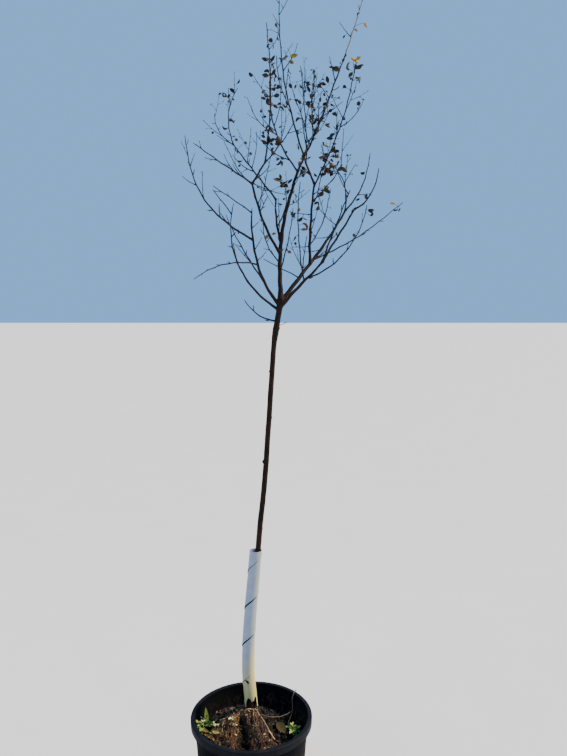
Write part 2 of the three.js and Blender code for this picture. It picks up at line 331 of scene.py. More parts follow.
smears = smears * (0.2 + place.part(0).between(-0.09, 0.06) * 0.7)
colour = (pale * 0.5).mix((0.0009, 0.0012, 0.0026), (0.0085, 0.0088, 0.0115))
colour = (splash * 0.7).mix(colour, (0.085, 0.066, 0.047))
colour = lip_dust_and_sheen.mix(colour, (0.011, 0.0118, 0.0145))
colour = (inside * 0.6).mix(colour, (0.0035, 0.0032, 0.0030))
colour = smears.mix(colour, (0.036, 0.028, 0.021))
roughness = 0.72 - lip * 0.26 + dust * 0.15 + pale * 0.2 + (1 - outside) * 0.15
scuffs = place.stretched(1, 1, 3).noise(140, 3, 0.5)
ripple = place.stretched(1, 1, 0.4).noise(26, 2, 0.4)
coat(shader, colour, roughness, (ripple * 0.75 + scuffs * 0.1 + specks * 0.15).bump(0.0012, 0.5))
take_finish(pot, pot_black)
belongs(pot, "pot_plastic", "pot")

# Root ball
# What grew in the pot: a heap of dry brown roots and composted bark that runs forward from the foot of
# the trunk and is split down its front, with damp black soil sunk behind it and beside it. The black
# of that soil is partly painted shade, and the split, the hollows between clumps and the patches off
# the lit lobes are darkened with painted shade.
MM = 0.001
trunk_foot = np.array([-4, 50, 288]) * MM
mound_edge = 0.236
mound_crown = 0.291
heap_left, heap_right, heap_front, heap_back = 0.070, 0.050, 0.085, 0.034
mound_radius = 0.1565
mound_waist_radius = 0.1465
mound_waist_height = 0.10
mound_foot_radius = 0.1385
mound_foot_height = 0.0045
split_depth = 0.023


def clods(x, y, scale, seed):
    """Even lumps over the mound, from -1 to 1."""
    return noise.noise(Vector((x / scale, y / scale, seed)))


def clumps(x, y, scale, seed):
    """Round clumps with sharp hollows between them, from -1 to 1."""
    return min(1, 3.2 * abs(clods(x, y, scale, seed))) * 2 - 1


def eased(value, low, high):
    """0 at low, 1 at high, and a soft slope between them."""
    t = min(max((value - low) / (high - low), 0), 1)
    return t * t * (3 - 2 * t)


def bell(value, middle, width):
    """1 at the middle, and less on both sides of it."""
    return math.exp(-(((value - middle) / width) ** 2))


def heap_share(x, y):
    """1 at the foot of the trunk, and less down every side of the heap."""
    across = (x - trunk_foot[0]) / (heap_right if x > trunk_foot[0] else heap_left)
    along = (y - trunk_foot[1]) / (heap_back if y > trunk_foot[1] else heap_front)
    return math.exp(-(across**2 + along**2) / 2)


def dry_and_lit_share(x, y):
    """1 on the dry roots in front of the trunk, where the heap is lit, and 0 on the soil round them,
    painted dark partly as shade.
    """
    ragged = 0.014 * clods(x, y, 0.022, 21)
    ahead = 0.020 - y
    left = -0.098 - 0.5 * ahead
    right = 0.024 + 0.55 * ahead
    past_left = eased(x + ragged, left - 0.012, left + 0.010)
    past_right = eased(x + ragged, right - 0.008, right + 0.010)
    behind = eased(y + ragged, 0.036, 0.056)
    return past_left * (1 - past_right) * (1 - behind)


def split_share(x, y):
    """1 in the middle of the split down the heap's front, and 0 away from it."""
    ahead = 0.014 - y
    middle = -0.033 + 0.17 * ahead + 0.002 * math.sin(y * 120)
    width = 0.0068 + 0.20 * max(0, ahead)
    begun = eased(ahead, -0.014, 0.012)
    ended = eased(ahead, 0.096, 0.125)
    return bell(x, middle, width) * begun * (1 - ended)


def mound_place(x, y):
    """Height of the mound's surface, with its clumps, crumbs and split, and how much painted shade
    darkens it there.
    """
    away = math.hypot(x - trunk_foot[0], y - trunk_foot[1])
    calm = eased(away, 0.014, 0.038)
    dry = dry_and_lit_share(x, y)
    split = split_share(x, y)
    big = clumps(x, y, 0.021, 9)
    small = clumps(x, y, 0.0085, 5)
    lumps = 0.0055 * clods(x, y, 0.034, 3) + 0.0050 * big + 0.0030 * small
    crumbs = 0.0016 * clods(x, y, 0.0042, 5) + 0.0010 * clods(x, y, 0.0021, 1)
    ridge = 0.010 * bell(x, -0.056, 0.020) * eased(0.034 - y, 0, 0.03)
    lip = 0.006 * dry - 0.004
    height = mound_edge + (mound_crown - mound_edge) * heap_share(x, y)
    height += calm * (lumps + crumbs + ridge + lip - split_depth * split)
    # Painted shade: the soil is darkened in patches off the two lit lobes, in the hollows between
    # clumps and down the split.
    lit = 1.3 * bell(x, -0.074, 0.024) + 0.45 * bell(x, 0.008, 0.023)
    lit *= 1 - 0.8 * eased(-y, 0.044, 0.072)
    patches = 0.88 * (1 - min(1, lit)) * eased(clods(x, y, 0.03, 31), -1.0, 0.2)
    hollows = max(eased(-big, 0.15, 1) * 0.9, eased(-small, 0.2, 1) * 0.85)
    painted_shade = max(patches, hollows, eased(split, 0.2, 0.6))
    return height, painted_shade, dry


def mound_height(x, y):
    return mound_place(x, y)[0]


class Gathered:
    """Many small shapes gathered into one mesh, with a material slot for each."""

    def __init__(self):
        self.points = []
        self.faces = []
        self.slots = []
        self.count = 0

    def add(self, points, faces, slot=0):
        self.points.append(np.asarray(points, float))
        self.faces.extend([tuple(i + self.count for i in face) for face in faces])
        self.slots.extend([slot] * len(faces))
        self.count += len(points)

    def piece(self, name, *materials, smooth=True):
        mesh = bpy.data.meshes.new(name)
        mesh.from_pydata(np.concatenate(self.points).tolist(), [], self.faces)
        piece = bpy.data.objects.new(name, mesh)
        bpy.context.collection.objects.link(piece)
        take_finish(piece, *materials)
        mesh.polygons.foreach_set("material_index", self.slots)
        mesh.polygons.foreach_set("use_smooth", [smooth] * len(self.faces))
        mesh.update()
        return piece


def wall_faces(rings, sides):
    """Faces between rings of points that follow each other in a list."""
    faces = []
    for ring in range(rings - 1):
        low, high = ring * sides, (ring + 1) * sides
        for k in range(sides):
            n = (k + 1) % sides
            faces.append((low + k, low + n, high + n, high + k))
    return faces


mound = Gathered()
mound_rings = 108
mound_sides = 300
turns = np.arange(mound_sides) * 2 * math.pi / mound_sides
spots = []
painted_shades = []
dry_and_lit_shares = []
for ring in range(1, mound_rings + 1):
    radius = mound_radius * ring / mound_rings
    for turn in turns:
        x, y = radius * math.cos(turn), radius * math.sin(turn)
        height, painted_shade, dry = mound_place(x, y)
        spots.append((x, y, height))
        painted_shades.append(painted_shade)
        dry_and_lit_shares.append(dry)
for radius, height in (
    (mound_waist_radius, mound_waist_height),
    (mound_foot_radius, mound_foot_height),
):
    spots.extend((radius * math.cos(turn), radius * math.sin(turn), height) for turn in turns)
middle = len(spots)
spots.append((0, 0, mound_height(0, 0)))
spots.append((0, 0, mound_foot_height))
for values in (painted_shades, dry_and_lit_shares):
    values.extend([0.0] * (len(spots) - len(values)))
faces = [(a, d, c, b) for a, b, c, d in wall_faces(mound_rings + 2, mound_sides)]
for k in range(mound_sides):
    n = (k + 1) % mound_sides
    faces.append((middle, k, n))
    faces.append((middle + 1, middle - mound_sides + n, middle - mound_sides + k))
mound.add(spots, faces)

soil_mix, shader, place = new_finish("soil_mix", gloss=0.2)
grains = place.noise(260, 5, 0.7)
blots = place.noise(75, 5, 0.65)
fibres = place.stretched(1, 1, 0.35).noise(520, 4, 0.6)
bits = place.cells(210, out=1)
bits = bits.add("SeparateColor", {}, {"Color": bits})
painted_shade = place.add("Attribute", {"attribute_name": "painted_shade"}, {}, out=2)
dry = place.add("Attribute", {"attribute_name": "dry_and_lit"}, {}, out=2)
# Painted shade: off the dry, lit heap the soil is near black, partly damp soil and partly the rim's
# shade painted in.
damp_and_shaded = grains.between(0.4, 0.8).mix((0.0016, 0.0014, 0.0013), (0.0095, 0.0075, 0.0060))
mixed = grains.between(0.3, 0.7).mix((0.012, 0.0050, 0.0018), (0.235, 0.098, 0.030))
mixed = (blots.between(0.42, 0.66) * 0.65).mix(mixed, (0.040, 0.019, 0.009))
colour = dry.mix(damp_and_shaded, mixed)
colour = (fibres.between(0.54, 0.64) * (0.08 + dry * 0.54)).mix(colour, (0.420, 0.235, 0.105))
colour = (bits.between(0.80, 0.88) * (0.12 + dry * 0.5)).mix(colour, (0.300, 0.150, 0.055))
# Painted shade takes the soil to near black where the mound's shade value is high.
colour = (painted_shade * 0.98).mix(colour, (0.0011, 0.0009, 0.0008))
coat(shader, colour, 0.85 + grains * 0.14, (grains * 0.6 + fibres * 0.4).bump(0.0025, 0.9))
mound_piece = mound.piece("root_mound", soil_mix)
for name, values in (("painted_shade", painted_shades), ("dry_and_lit", dry_and_lit_shares)):
    mound_piece.data.attributes.new(name, "FLOAT", "POINT").data.foreach_set("value", values)
belongs(mound_piece, "root_mix", "root_ball")

# Loose roots and bark
# Fine roots run over the mound and stand out of it in wiry loops, and chips of composted bark
# lie between them.
root_colours = {
    "root_red_brown": ((0.024, 0.0095, 0.0038), (0.145, 0.060, 0.019)),
    "root_tan": ((0.230, 0.135, 0.056), (0.500, 0.340, 0.170)),
    "root_dark": ((0.005, 0.0035, 0.0028), (0.020, 0.0135, 0.010)),
    "root_dull": ((0.055, 0.043, 0.033), (0.160, 0.127, 0.098)),
}
root_finishes = []
for name, (first, second) in root_colours.items():
    material, shader, place = new_finish(name)
    spread = place.noise(160, 4, 0.6)
    colour = spread.between(0.3, 0.7).mix(first, second)
    coat(shader, colour, 0.7 + spread * 0.2, place.noise(900, 2, 0.5).bump(0.0004, 0.7))
    root_finishes.append(material)
RED_BROWN, PALE_TAN, ROOT_DARK, DULL = range(4)


def unit(vector):
    vector = np.asarray(vector, float)
    return vector / max(float(np.linalg.norm(vector)), 1e-12)


def round_bar(points, radii, sides):
    """A bar of round section along points, with a blunt cap of its own at each end."""
    points = np.asarray(points, float)
    count = len(points)
    ways = np.gradient(points, axis=0)
    ways /= np.linalg.norm(ways, axis=1)[:, None]
    side = unit(np.cross(ways[0], (0.2, 0.97, 0.1)))
    turns = np.arange(sides) * 2 * math.pi / sides
    rings = []
    for i in range(count):
        side = unit(side - ways[i] * float(side @ ways[i]))
        over = np.cross(ways[i], side)
        ring = np.outer(np.cos(turns), side) + np.outer(np.sin(turns), over)
        rings.append(points[i] + ring * radii[i])
    foot = points[0] - ways[0] * radii[0] * 0.35
    tip = points[-1] + ways[-1] * radii[-1] * 0.6
    places = np.concatenate([*rings, [foot, tip]])
    faces = wall_faces(count, sides)
    last = (count - 1) * sides
    for k in range(sides):
        n = (k + 1) % sides
        faces.append((count * sides, n, k))
        faces.append((count * sides + 1, last + k, last + n))
    return places, faces


def soft_line(places, fineness):
    """A line through places with its corners rounded, with some points for each of them."""
    steps = np.linspace(0, len(places) - 1, fineness * len(places))
    line = np.stack([np.interp(steps, range(len(places)), side) for side in np.transpose(places)], 1)
    line[1:-1] = (line[:-2] + 2 * line[1:-1] + line[2:]) / 4
    return line


def over_mound(x, y, lift):
    """A point lift above the mound's surface, kept inside the pot."""
    away = math.hypot(x, y)
    if away > mound_radius:
        x, y = x * mound_radius / away, y * mound_radius / away
    return np.array([x, y, mound_height(x, y) + lift])


chance = random.Random(43)
fine_roots = Gathered()
root_count = 1450
root_swell = 1.6
root_reach = 0.146
root_field = ((-0.135, 0.095), (-0.115, 0.075))
root_stray = 0.38
root_taper = 0.55
dry_enough = 0.4
for i in range(root_count):
    while True:
        x, y = (chance.uniform(low, high) for low, high in root_field)
        wanted = (0.08 + 0.92 * dry_and_lit_share(x, y)) * (1 - split_share(x, y)) ** 2
        if chance.random() < wanted and math.hypot(x, y) < root_reach:
            break
    dry = dry_and_lit_share(x, y) > dry_enough
    heading = math.atan2(y - trunk_foot[1] - 0.01, x - trunk_foot[0])
    heading += chance.gauss(0, chance.choice((0.6, 1.8)))
    steps = chance.randint(4, 10)
    stride = chance.uniform(0.0026, 0.0052)
    thick = chance.choice((0.00022, 0.00028, 0.00035, 0.0004, 0.0006, 0.0009))
    arch = chance.uniform(0.001, 0.006) if chance.random() < 0.45 else 0.0006
    points = []
    for step in range(steps + 1):
        rise = arch * math.sin(math.pi * step / steps)
        points.append(over_mound(x, y, thick * 0.4 + rise))
        heading += chance.gauss(0, root_stray)
        x += stride * math.cos(heading)
        y += stride * math.sin(heading)
    radii = np.linspace(thick, thick * root_taper, steps + 1)
    # Off the dry, lit heap most roots are dark, which partly paints in the shade there.
    if not dry:
        shares = (1, 0.15, 7)
    elif points[0][1] < -0.055:
        shares = (4, 0.6, 5)
    elif x < -0.045:
        shares = (8, 2.0, 2)
    else:
        shares = (4, 0.9, 6)
    kind = chance.choices((RED_BROWN, PALE_TAN, ROOT_DARK), shares)[0]
    fine_roots.add(*round_bar(points, radii, 4), slot=kind)

# Roots that stand out: points over the mound in millimetres with their lift, thickness and kind
named_roots = [
    ([(4, 34, 2), (14, 21, 4), (23, 11, 6), (31, 3, 6), (42, -12, 6), (52, -23, 6)], 1.5, PALE_TAN),
    ([(50, -20, 6), (57, -28, 6), (63, -33, 6), (69, -38, 5)], 3.0, PALE_TAN),
    ([(-20, 37, 1), (-13, 34, 5), (-6, 33, 5), (-1, 34, 2)], 2.6, PALE_TAN),
    ([(0, 35, 2), (5, 31, 5), (10, 27, 5), (13, 21, 3)], 2.6, PALE_TAN),
    ([(-3, 36, 3), (4, 24, 6), (6, 12, 4), (4, 0, 2)], 1.2, PALE_TAN),
    ([(-16, 38, 2), (-30, 40, 4), (-44, 38, 3), (-52, 30, 1)], 1.2, RED_BROWN),
    ([(-16, 33, 2), (-31, 24, 5), (-46, 10, 5), (-54, -6, 2)], 1.5, RED_BROWN),
    ([(-22, 32, 1), (-44, 18, 4), (-58, -6, 5), (-60, -34, 2)], 1.4, RED_BROWN),
    ([(8, 28, 2), (14, 6, 5), (14, -16, 5), (18, -44, 1)], 1.4, RED_BROWN),
    ([(14, 30, 1), (26, 16, 4), (36, -6, 4), (48, -44, 1)], 1.3, RED_BROWN),
    ([(2, 24, 1), (6, -4, 3), (14, -30, 3), (22, -56, 1)], 1.2, RED_BROWN),
    ([(-50, 24, 1), (-58, 2, 4), (-66, -24, 4), (-66, -50, 1)], 1.3, RED_BROWN),
    ([(-78, 18, 1), (-86, -4, 4), (-84, -30, 3), (-92, -50, 1)], 1.2, PALE_TAN),
    ([(24, -52, 1), (40, -60, 5), (58, -58, 4), (72, -66, 1)], 1.2, RED_BROWN),
]
for spots, thick, kind in named_roots:
    line = soft_line([over_mound(x * MM, y * MM, lift * MM) for x, y, lift in spots], 4)
    radii = np.linspace(thick, thick * 0.7, len(line)) * MM / 2 * root_swell
    fine_roots.add(*round_bar(line, radii, 7), slot=kind)

# A dead twiggy root lies from the pot's lip down to the trunk, with a fork
wiry_root = [
    (134, 113, 309), (126, 106, 304), (121, 100, 290), (122, 90, 272), (122, 76, 263),
    (104, 58, 263), (83, 46, 262), (54, 30, 272), (27, 22, 284),
]
wiry_fork = [(121, 74, 262), (117, 56, 259), (112, 44, 255), (107, 30, 250)]
for spots, thick in ((wiry_root, (2.6, 1.5)), (wiry_fork, (1.8, 1.0))):
    line = soft_line(np.array(spots) * MM, 5)
    fine_roots.add(*round_bar(line, np.linspace(*thick, len(line)) * MM / 2, 7), slot=DULL)
belongs(fine_roots.piece("loose_roots", *root_finishes), "root_mix")

chance.seed(44)
bark_chips = Gathered()
chip_count = 900
chip_spread = 0.97
chip_clearance = 0.022
chip_width = 0.24
chip_thickness = 0.3
chip_cuts = ((-1, 0.7), (-0.3, 1.1), (0.5, 0.9), (1, 0.45))
chip_section = ((-1, -0.25), (1, -0.3), (0.8, 0.3), (-0.85, 0.22))
split_edge = 0.35
for i in range(chip_count):
    turn = chance.uniform(0, 2 * math.pi)
    away = mound_radius * math.sqrt(chance.random()) * chip_spread
    spot = over_mound(away * math.cos(turn), away * math.sin(turn), 0.0008)
    at_trunk = np.linalg.norm(spot[:2] - trunk_foot[:2]) < chip_clearance
    if at_trunk or split_share(spot[0], spot[1]) > split_edge:
        continue
    dry = dry_and_lit_share(spot[0], spot[1]) > dry_enough
    long = chance.choice((0.004, 0.005, 0.006, 0.008, 0.011)) * chance.uniform(0.8, 1.2)
    way = unit([chance.gauss(0, 1), chance.gauss(0, 1), chance.gauss(0, 0.35)])
    side = unit(np.cross(way, (0.1, 0.2, 1)))
    up = np.cross(side, way)
    corners = []
    for end, size in chip_cuts:
        for across, rise in chip_section:
            shift = way * end * long / 2 + side * across * size * long * chip_width
            shift = shift + up * rise * size * long * chip_thickness
            corners.append(spot + shift * chance.uniform(0.85, 1.15))
    faces = [(3, 2, 1, 0), (12, 13, 14, 15), *wall_faces(4, 4)]
    # Off the dry, lit heap most chips are dark, which partly paints in the shade there.
    shares = (5, 0.9, 4) if dry else (0.5, 0.04, 9)
    kind = chance.choices((RED_BROWN, PALE_TAN, ROOT_DARK), shares)[0]
    bark_chips.add(corners, faces, slot=kind)
belongs(bark_chips.piece("bark_chips", *root_finishes, smooth=False), "root_mix")

# Weeds and litter
# Small green weeds root in the mix at its left and right edges and a pale one in its middle. Dead
# leaves lie by them, some flat and tan along the left of the rim, some dark and curled.
golden_turn = math.radians(137.5)
leaf_outline = ((0.16, 0.62), (0.4, 1.0), (0.66, 0.86), (0.87, 0.42), (1.0, 0.0))


def add_leaf(leaves, spot, way, length, width, curl, fold, slot, facing=None):
    """A pointed oval leaf, folded along its midrib and curled over. It faces any way unless told."""
    way = unit(way)
    facing = facing or tuple(chance.gauss(0, 1) for _ in range(3))
    side = unit(np.cross(way, facing))
    normal = np.cross(side, way)
    points = [spot]
    place = spot
    last = 0.0
    for along, broad in leaf_outline:
        heading = curl * along
        ahead = way * math.cos(heading) + normal * math.sin(heading)
        above = normal * math.cos(heading) - way * math.sin(heading)
        place = place + ahead * (along - last) * length
        last = along
        if not broad:
            points.append(place)
            continue
        half = width * broad / 2
        for hand in (-1, 0, 1):
            tilt = fold * chance.uniform(0.8, 1.2)
            reach = side * hand * half * math.cos(tilt) + above * abs(hand) * half * math.sin(tilt)
            points.append(place + reach)
    faces = [(0, 2, 1), (0, 3, 2)]
    for row in range(3):
        a = 1 + row * 3
        faces += [(a, a + 1, a + 4, a + 3), (a + 1, a + 2, a + 5, a + 4)]
    faces += [(10, 11, 13), (11, 12, 13)]
    leaves.add(points, faces, slot)


weed_tints = {
    "weed_green": ((0.016, 0.050, 0.007), (0.085, 0.190, 0.028)),
    "weed_yellow_green": ((0.150, 0.210, 0.030), (0.330, 0.400, 0.080)),
    "weed_pale": ((0.400, 0.420, 0.130), (0.780, 0.760, 0.420)),
    "litter_tan": ((0.130, 0.078, 0.022), (0.380, 0.250, 0.085)),
    "litter_brown": ((0.014, 0.008, 0.004), (0.050, 0.029, 0.014)),
    "litter_olive": ((0.012, 0.0085, 0.0020), (0.066, 0.050, 0.010)),
}
weed_finishes = []
for name, (first, second) in weed_tints.items():
    material, shader, place = new_finish(name, gloss=0.2)
    veins = place.noise(230, 4, 0.6)
    colour = veins.between(0.3, 0.7).mix(first, second)
    coat(shader, colour, 0.5 + veins * 0.25, veins.bump(0.0004, 0.7))
    weed_finishes.append(material)
GREEN, YELLOW_GREEN, PALE, LITTER_TAN, LITTER_BROWN, LITTER_OLIVE = range(6)

chance.seed(45)
litter = Gathered()


def add_stalk(shapes, foot, tip, lift, radii, slot=0):
    """A thin stalk from foot to tip, which stands up by lift in its middle. Gives its middle."""
    knee = (foot + tip) / 2 + np.array([0, 0, lift])
    shapes.add(*round_bar([foot, knee, tip], radii, 4), slot=slot)
    return knee


weed_reach = 0.156
sprig_leaves = 3
sprig_turn = 2.1
sprig_gap = 0.002
weed_arch = 0.003
weed_fold = 0.3
weed_facing = (0, -0.4, 1)
stalk_radii = [0.0007, 0.0006, 0.0004]
sunk = -0.001


def add_weed(centre, spread, stalks, leaf_length, tints):
    """A tuft of short stalks, each with a spray of small broad leaves, grown from one spot."""
    foot = over_mound(centre[0] * MM, centre[1] * MM, sunk)
    for i in range(stalks):
        turn = i * golden_turn + chance.uniform(-0.4, 0.4)
        away = spread * math.sqrt((i + 0.5) / stalks) * MM
        height = chance.uniform(0.6, 1.1) * centre[2] * MM
        tip = foot + np.array([away * math.cos(turn), away * math.sin(turn), height])
        if np.hypot(tip[0], tip[1]) > weed_reach:
            tip[:2] *= weed_reach / np.hypot(tip[0], tip[1])
        slot = chance.choice(tints)
        knee = add_stalk(litter, foot, tip, weed_arch, stalk_radii, slot)
        for k in range(sprig_leaves):
            side = turn + k * sprig_turn
            way = np.array([math.cos(side), math.sin(side), chance.uniform(0.1, 1.1)])
            length = leaf_length * chance.uniform(0.6, 1.25) * MM
            base = tip - unit(tip - knee) * sprig_gap * k
            broad = length * chance.uniform(0.35, 0.6)
            curl = chance.uniform(-0.6, 0.2)
            add_leaf(litter, base, way, length, broad, curl, weed_fold, slot, weed_facing)


# Weeds: place and height, spread, stalks, leaf length and tints
weeds = [
    ((-153, -4, 32), 12, 5, 13, (YELLOW_GREEN, GREEN)),
    ((-144, -14, 24), 10, 4, 11, (GREEN, YELLOW_GREEN)),
    ((-142, 6, 34), 9, 3, 8, (PALE, GREEN)),
    ((-121, 14, 20), 15, 9, 11, (GREEN,)),
    ((-108, 4, 18), 8, 3, 8, (PALE, GREEN)),
    ((-104, -28, 10), 13, 6, 9, (GREEN, LITTER_BROWN, GREEN)),
    ((-61, -10, 5), 4, 2, 7, (PALE,)),
    ((-52, -4, 5), 4, 2, 7, (PALE,)),
    ((-54, -12, 5), 4, 1, 6, (YELLOW_GREEN,)),
    ((-49, -15, 5), 4, 2, 7, (PALE,)),
    ((-60, -16, 5), 4, 1, 6, (PALE,)),
    ((122, -6, 24), 17, 8, 14, (GREEN, YELLOW_GREEN)),
    ((131, -20, 16), 10, 4, 12, (YELLOW_GREEN, GREEN)),
]
for weed in weeds:
    add_weed(*weed)

# Two upright blades: place, lean to the right, and length
blade_width = 0.016
blade_curl = 0.2
blade_fold = 0.15
blade_facing = (0.75, -0.6, 0)
for x, y, lean, long in ((-132, 20, -0.16, 0.068), (-137, 24, 0.02, 0.060)):
    foot = over_mound(x * MM, y * MM, sunk)
    way = (lean, -0.05, 1)
    shape = (long, blade_width, blade_curl, blade_fold)
    add_leaf(litter, foot, way, *shape, YELLOW_GREEN, blade_facing)

# Fallen leaves: place, way round in degrees, lift at the tip, length, width and tint
fallen = [
    (-152, 10, -60, 0.20, 84, 11, LITTER_TAN),
    (-138, -18, -52, 0.28, 54, 9, LITTER_TAN),
    (-122, -22, -36, 0.15, 30, 11, LITTER_BROWN),
    (-112, -40, -20, 0.10, 24, 10, LITTER_TAN),
    (-142, 36, 30, 0.70, 30, 14, LITTER_BROWN),
    (-146, 22, 70, 0.80, 26, 12, LITTER_BROWN),
    (-128, 40, 10, 0.40, 26, 13, LITTER_BROWN),
    (-100, 40, 120, 0.20, 24, 12, LITTER_BROWN),
    (76, 22, -66, 0.05, 52, 27, LITTER_OLIVE),
    (104, 14, 160, 0.20, 26, 15, LITTER_OLIVE),
    (-52, 92, 200, 0.20, 24, 12, LITTER_BROWN),
]
strap_height = 0.016
litter_height = 0.006
litter_fold = 0.25
litter_facing = (0, -0.7, 1)
for x, y, way, lift, length, width, slot in fallen:
    turn = math.radians(way)
    ahead = (math.cos(turn), math.sin(turn), lift)
    spot = over_mound(x * MM, y * MM, strap_height if slot == LITTER_TAN else litter_height)
    curl = chance.uniform(-0.3, 0.3)
    shape = (length * MM, width * MM, curl, litter_fold)
    add_leaf(litter, spot, ahead, *shape, slot, litter_facing)
belongs(litter.piece("weeds_and_litter", *weed_finishes), "root_mix")

# Trunk guard
# A strip of thin white plastic wound round the foot of the trunk in a steep spiral, each turn lapped
# over the one below, cut level at the top, torn at its foot and stained by the soil. Its right side is
# painted warmer, a painted sunlit side.
guard_foot = np.array([-3.5, 50, 288.35]) * MM
guard_reach = np.array([15.5, -3, 490]) * MM
guard_sways = [0, -12, -12.4, -6.6, 0]
guard_diameters = (0.039, 0.037)
guard_plastic = 0.0007
guard_top = 0.7785
guard_hem = 0.2985
winding_pitch = 0.1155
winding_foot = 0.2751
winding_lean = 0.0021
winding_turned = 0.0041
winding_lap = 0.005
foot_flare = 0.0022
flare_height = 0.011
strip_lift = 0.0002
strip_tuck = 0.0011
edge_curl = 0.0006
curl_share = 0.05
strip_ripple = 0.0002


def swayed(sways, fractions):
    """Smooth amounts along a line, in metres, through even steps given in millimetres."""
    ends = [sways[0], *sways, sways[-1]]
    values = []
    for t in np.atleast_1d(fractions):
        step = min(max(float(t), 0), 1) * (len(sways) - 1)
        i = min(int(step), len(sways) - 2)
        w = step - i
        before, first, second, after = ends[i : i + 4]
        rise, fall = (second - before) / 2, (after - first) / 2
        cubic = 2 * first - 2 * second + rise + fall
        square = -3 * first + 3 * second - 2 * rise - fall
        values.append(((cubic * w + square) * w + rise) * w + first)
    return np.array(values) * MM


def guard_middle(height):
    t = (height - guard_foot[2]) / guard_reach[2]
    middle = guard_foot + t * guard_reach
    middle[0] += float(swayed(guard_sways, t)[0])
    return middle


def front_share(turns):
    """1 where a seam runs round the front of the guard, where it gapes, and 0 behind."""
    way = (turns + 0.5) % 1 - 0.5
    return eased(way, -0.38, -0.30) * (1 - eased(way, 0.25, 0.33))


# How far each seam gapes in front, by its turn from the foot
seam_gapes = {1: 0.0018, 2: 0.0058, 3: 0.0062, 4: 0.0028}


def seam_gap(turns):
    """How far a seam gapes, in metres. Seams gape most on their left."""
    way = (turns + 0.5) % 1 - 0.5
    gape = seam_gapes.get(round(turns), 0)
    return gape * (1 - 0.2 * eased(way, 0, 0.22)) * front_share(turns)


def seam_lap(turns):
    """How far a turn laps under the one above it, in metres."""
    return winding_lap * (1 - front_share(turns) * (0.99 if round(turns) in seam_gapes else 0))


strip = Gathered()
steps_round = 64
strip_rows = 14
first_turn, last_turn = -1.1, 4.6
strip_steps = int((last_turn - first_turn) * steps_round)
places = []
for i in range(strip_steps + 1):
    turns = first_turn + (last_turn - first_turn) * i / strip_steps
    angle = 2 * math.pi * turns
    seam = winding_foot + winding_pitch * turns - winding_lean * math.sin(angle)
    seam += winding_turned * math.cos(angle)
    low = seam + seam_gap(turns)
    high = seam + winding_pitch + seam_lap(turns + 1)
    for row in range(strip_rows + 1):
        v = row / strip_rows
        height = low + (high - low) * v
        middle = guard_middle(height)
        t = min(max((height - guard_foot[2]) / guard_reach[2], 0), 1)
        radius = (guard_diameters[0] + (guard_diameters[1] - guard_diameters[0]) * t) / 2
        radius += strip_lift - strip_tuck * v + edge_curl * max(0, 1 - v / curl_share)
        spot = Vector((math.cos(angle) * 2, math.sin(angle) * 2, height * 40))
        radius += strip_ripple * noise.noise(spot)
        flare = foot_flare * math.exp(-max(0, height - guard_foot[2]) / flare_height)
        place = middle + np.array([math.sin(angle), -math.cos(angle), 0]) * (radius + flare)
        places.append(place)
faces = []
for i in range(strip_steps):
    for row in range(strip_rows):
        a = i * (strip_rows + 1) + row
        faces.append((a, a + strip_rows + 1, a + strip_rows + 2, a + 1))
strip.add(places, faces)
guard = strip.piece("trunk_guard_winding")
only(guard)
bpy.ops.object.mode_set(mode="EDIT")
for height, inner, outer in ((guard_top, False, True), (guard_hem, True, False)):
    bpy.ops.mesh.select_all(action="SELECT")
    bpy.ops.mesh.bisect(
        plane_co=(0, 0, height), plane_no=(0, 0, 1), clear_inner=inner, clear_outer=outer
    )
bpy.ops.object.mode_set(mode="OBJECT")
add_modifier(guard, "SOLIDIFY", thickness=guard_plastic, offset=-1)


def cut_oval(middle, way, width, height, ahead, depth, sides):
    """Cuts an oval hole in the guard. It lies ahead of middle, way degrees round from the front."""
    turn = math.radians(way)
    out = Vector((math.sin(turn), -math.cos(turn), 0))
    bpy.ops.mesh.primitive_cylinder_add(
        vertices=sides,
        radius=0.5,
        depth=depth,
        location=Vector(middle) + out * ahead,
        rotation=(math.radians(90), 0, turn),
    )
    cutter = bpy.context.object
    cutter.scale = (width * MM, height * MM, 1)
    bpy.ops.object.transform_apply(location=False, rotation=False, scale=True)
    cut_out(guard, cutter)


# Torn notches round its foot: way round in degrees, width and height in millimetres
notches = [
    (-17, 20, 31), (20, 15, 22), (46, 14, 33), (-76, 15, 5), (100, 12, 12),
    (140, 9, 18), (190, 13, 13), (243, 8, 20), (285, 11, 10),
]
hem_middle = (guard_foot[0], guard_foot[1], guard_hem)
for way, width, height in notches:
    cut_oval(hem_middle, way, width, 2 * height, ahead=0.022, depth=0.030, sides=24)

# Vent holes: way round in degrees, height, and width and height of the hole in millimetres
vents = [
    (-13, 0.381, 9, 7), (-5, 0.3775, 5, 9), (-25, 0.384, 6, 4),
    (163, 0.436, 6, 6), (105, 0.560, 6, 6), (-75, 0.672, 6, 6),
]
for way, level, width, height in vents:
    cut_oval(guard_middle(level), way, width, height, ahead=0.018, depth=0.016, sides=18)
smooth_under(guard, 40)

guard_white, shader, place = new_finish("guard_white")
height = place.part(2)
film = place.noise(60, 5, 0.62)
streaks = place.stretched(1, 1, 0.1).noise(300, 4, 0.6)
grime = place.stretched(1, 1, 0.5).noise(110, 6, 0.7)
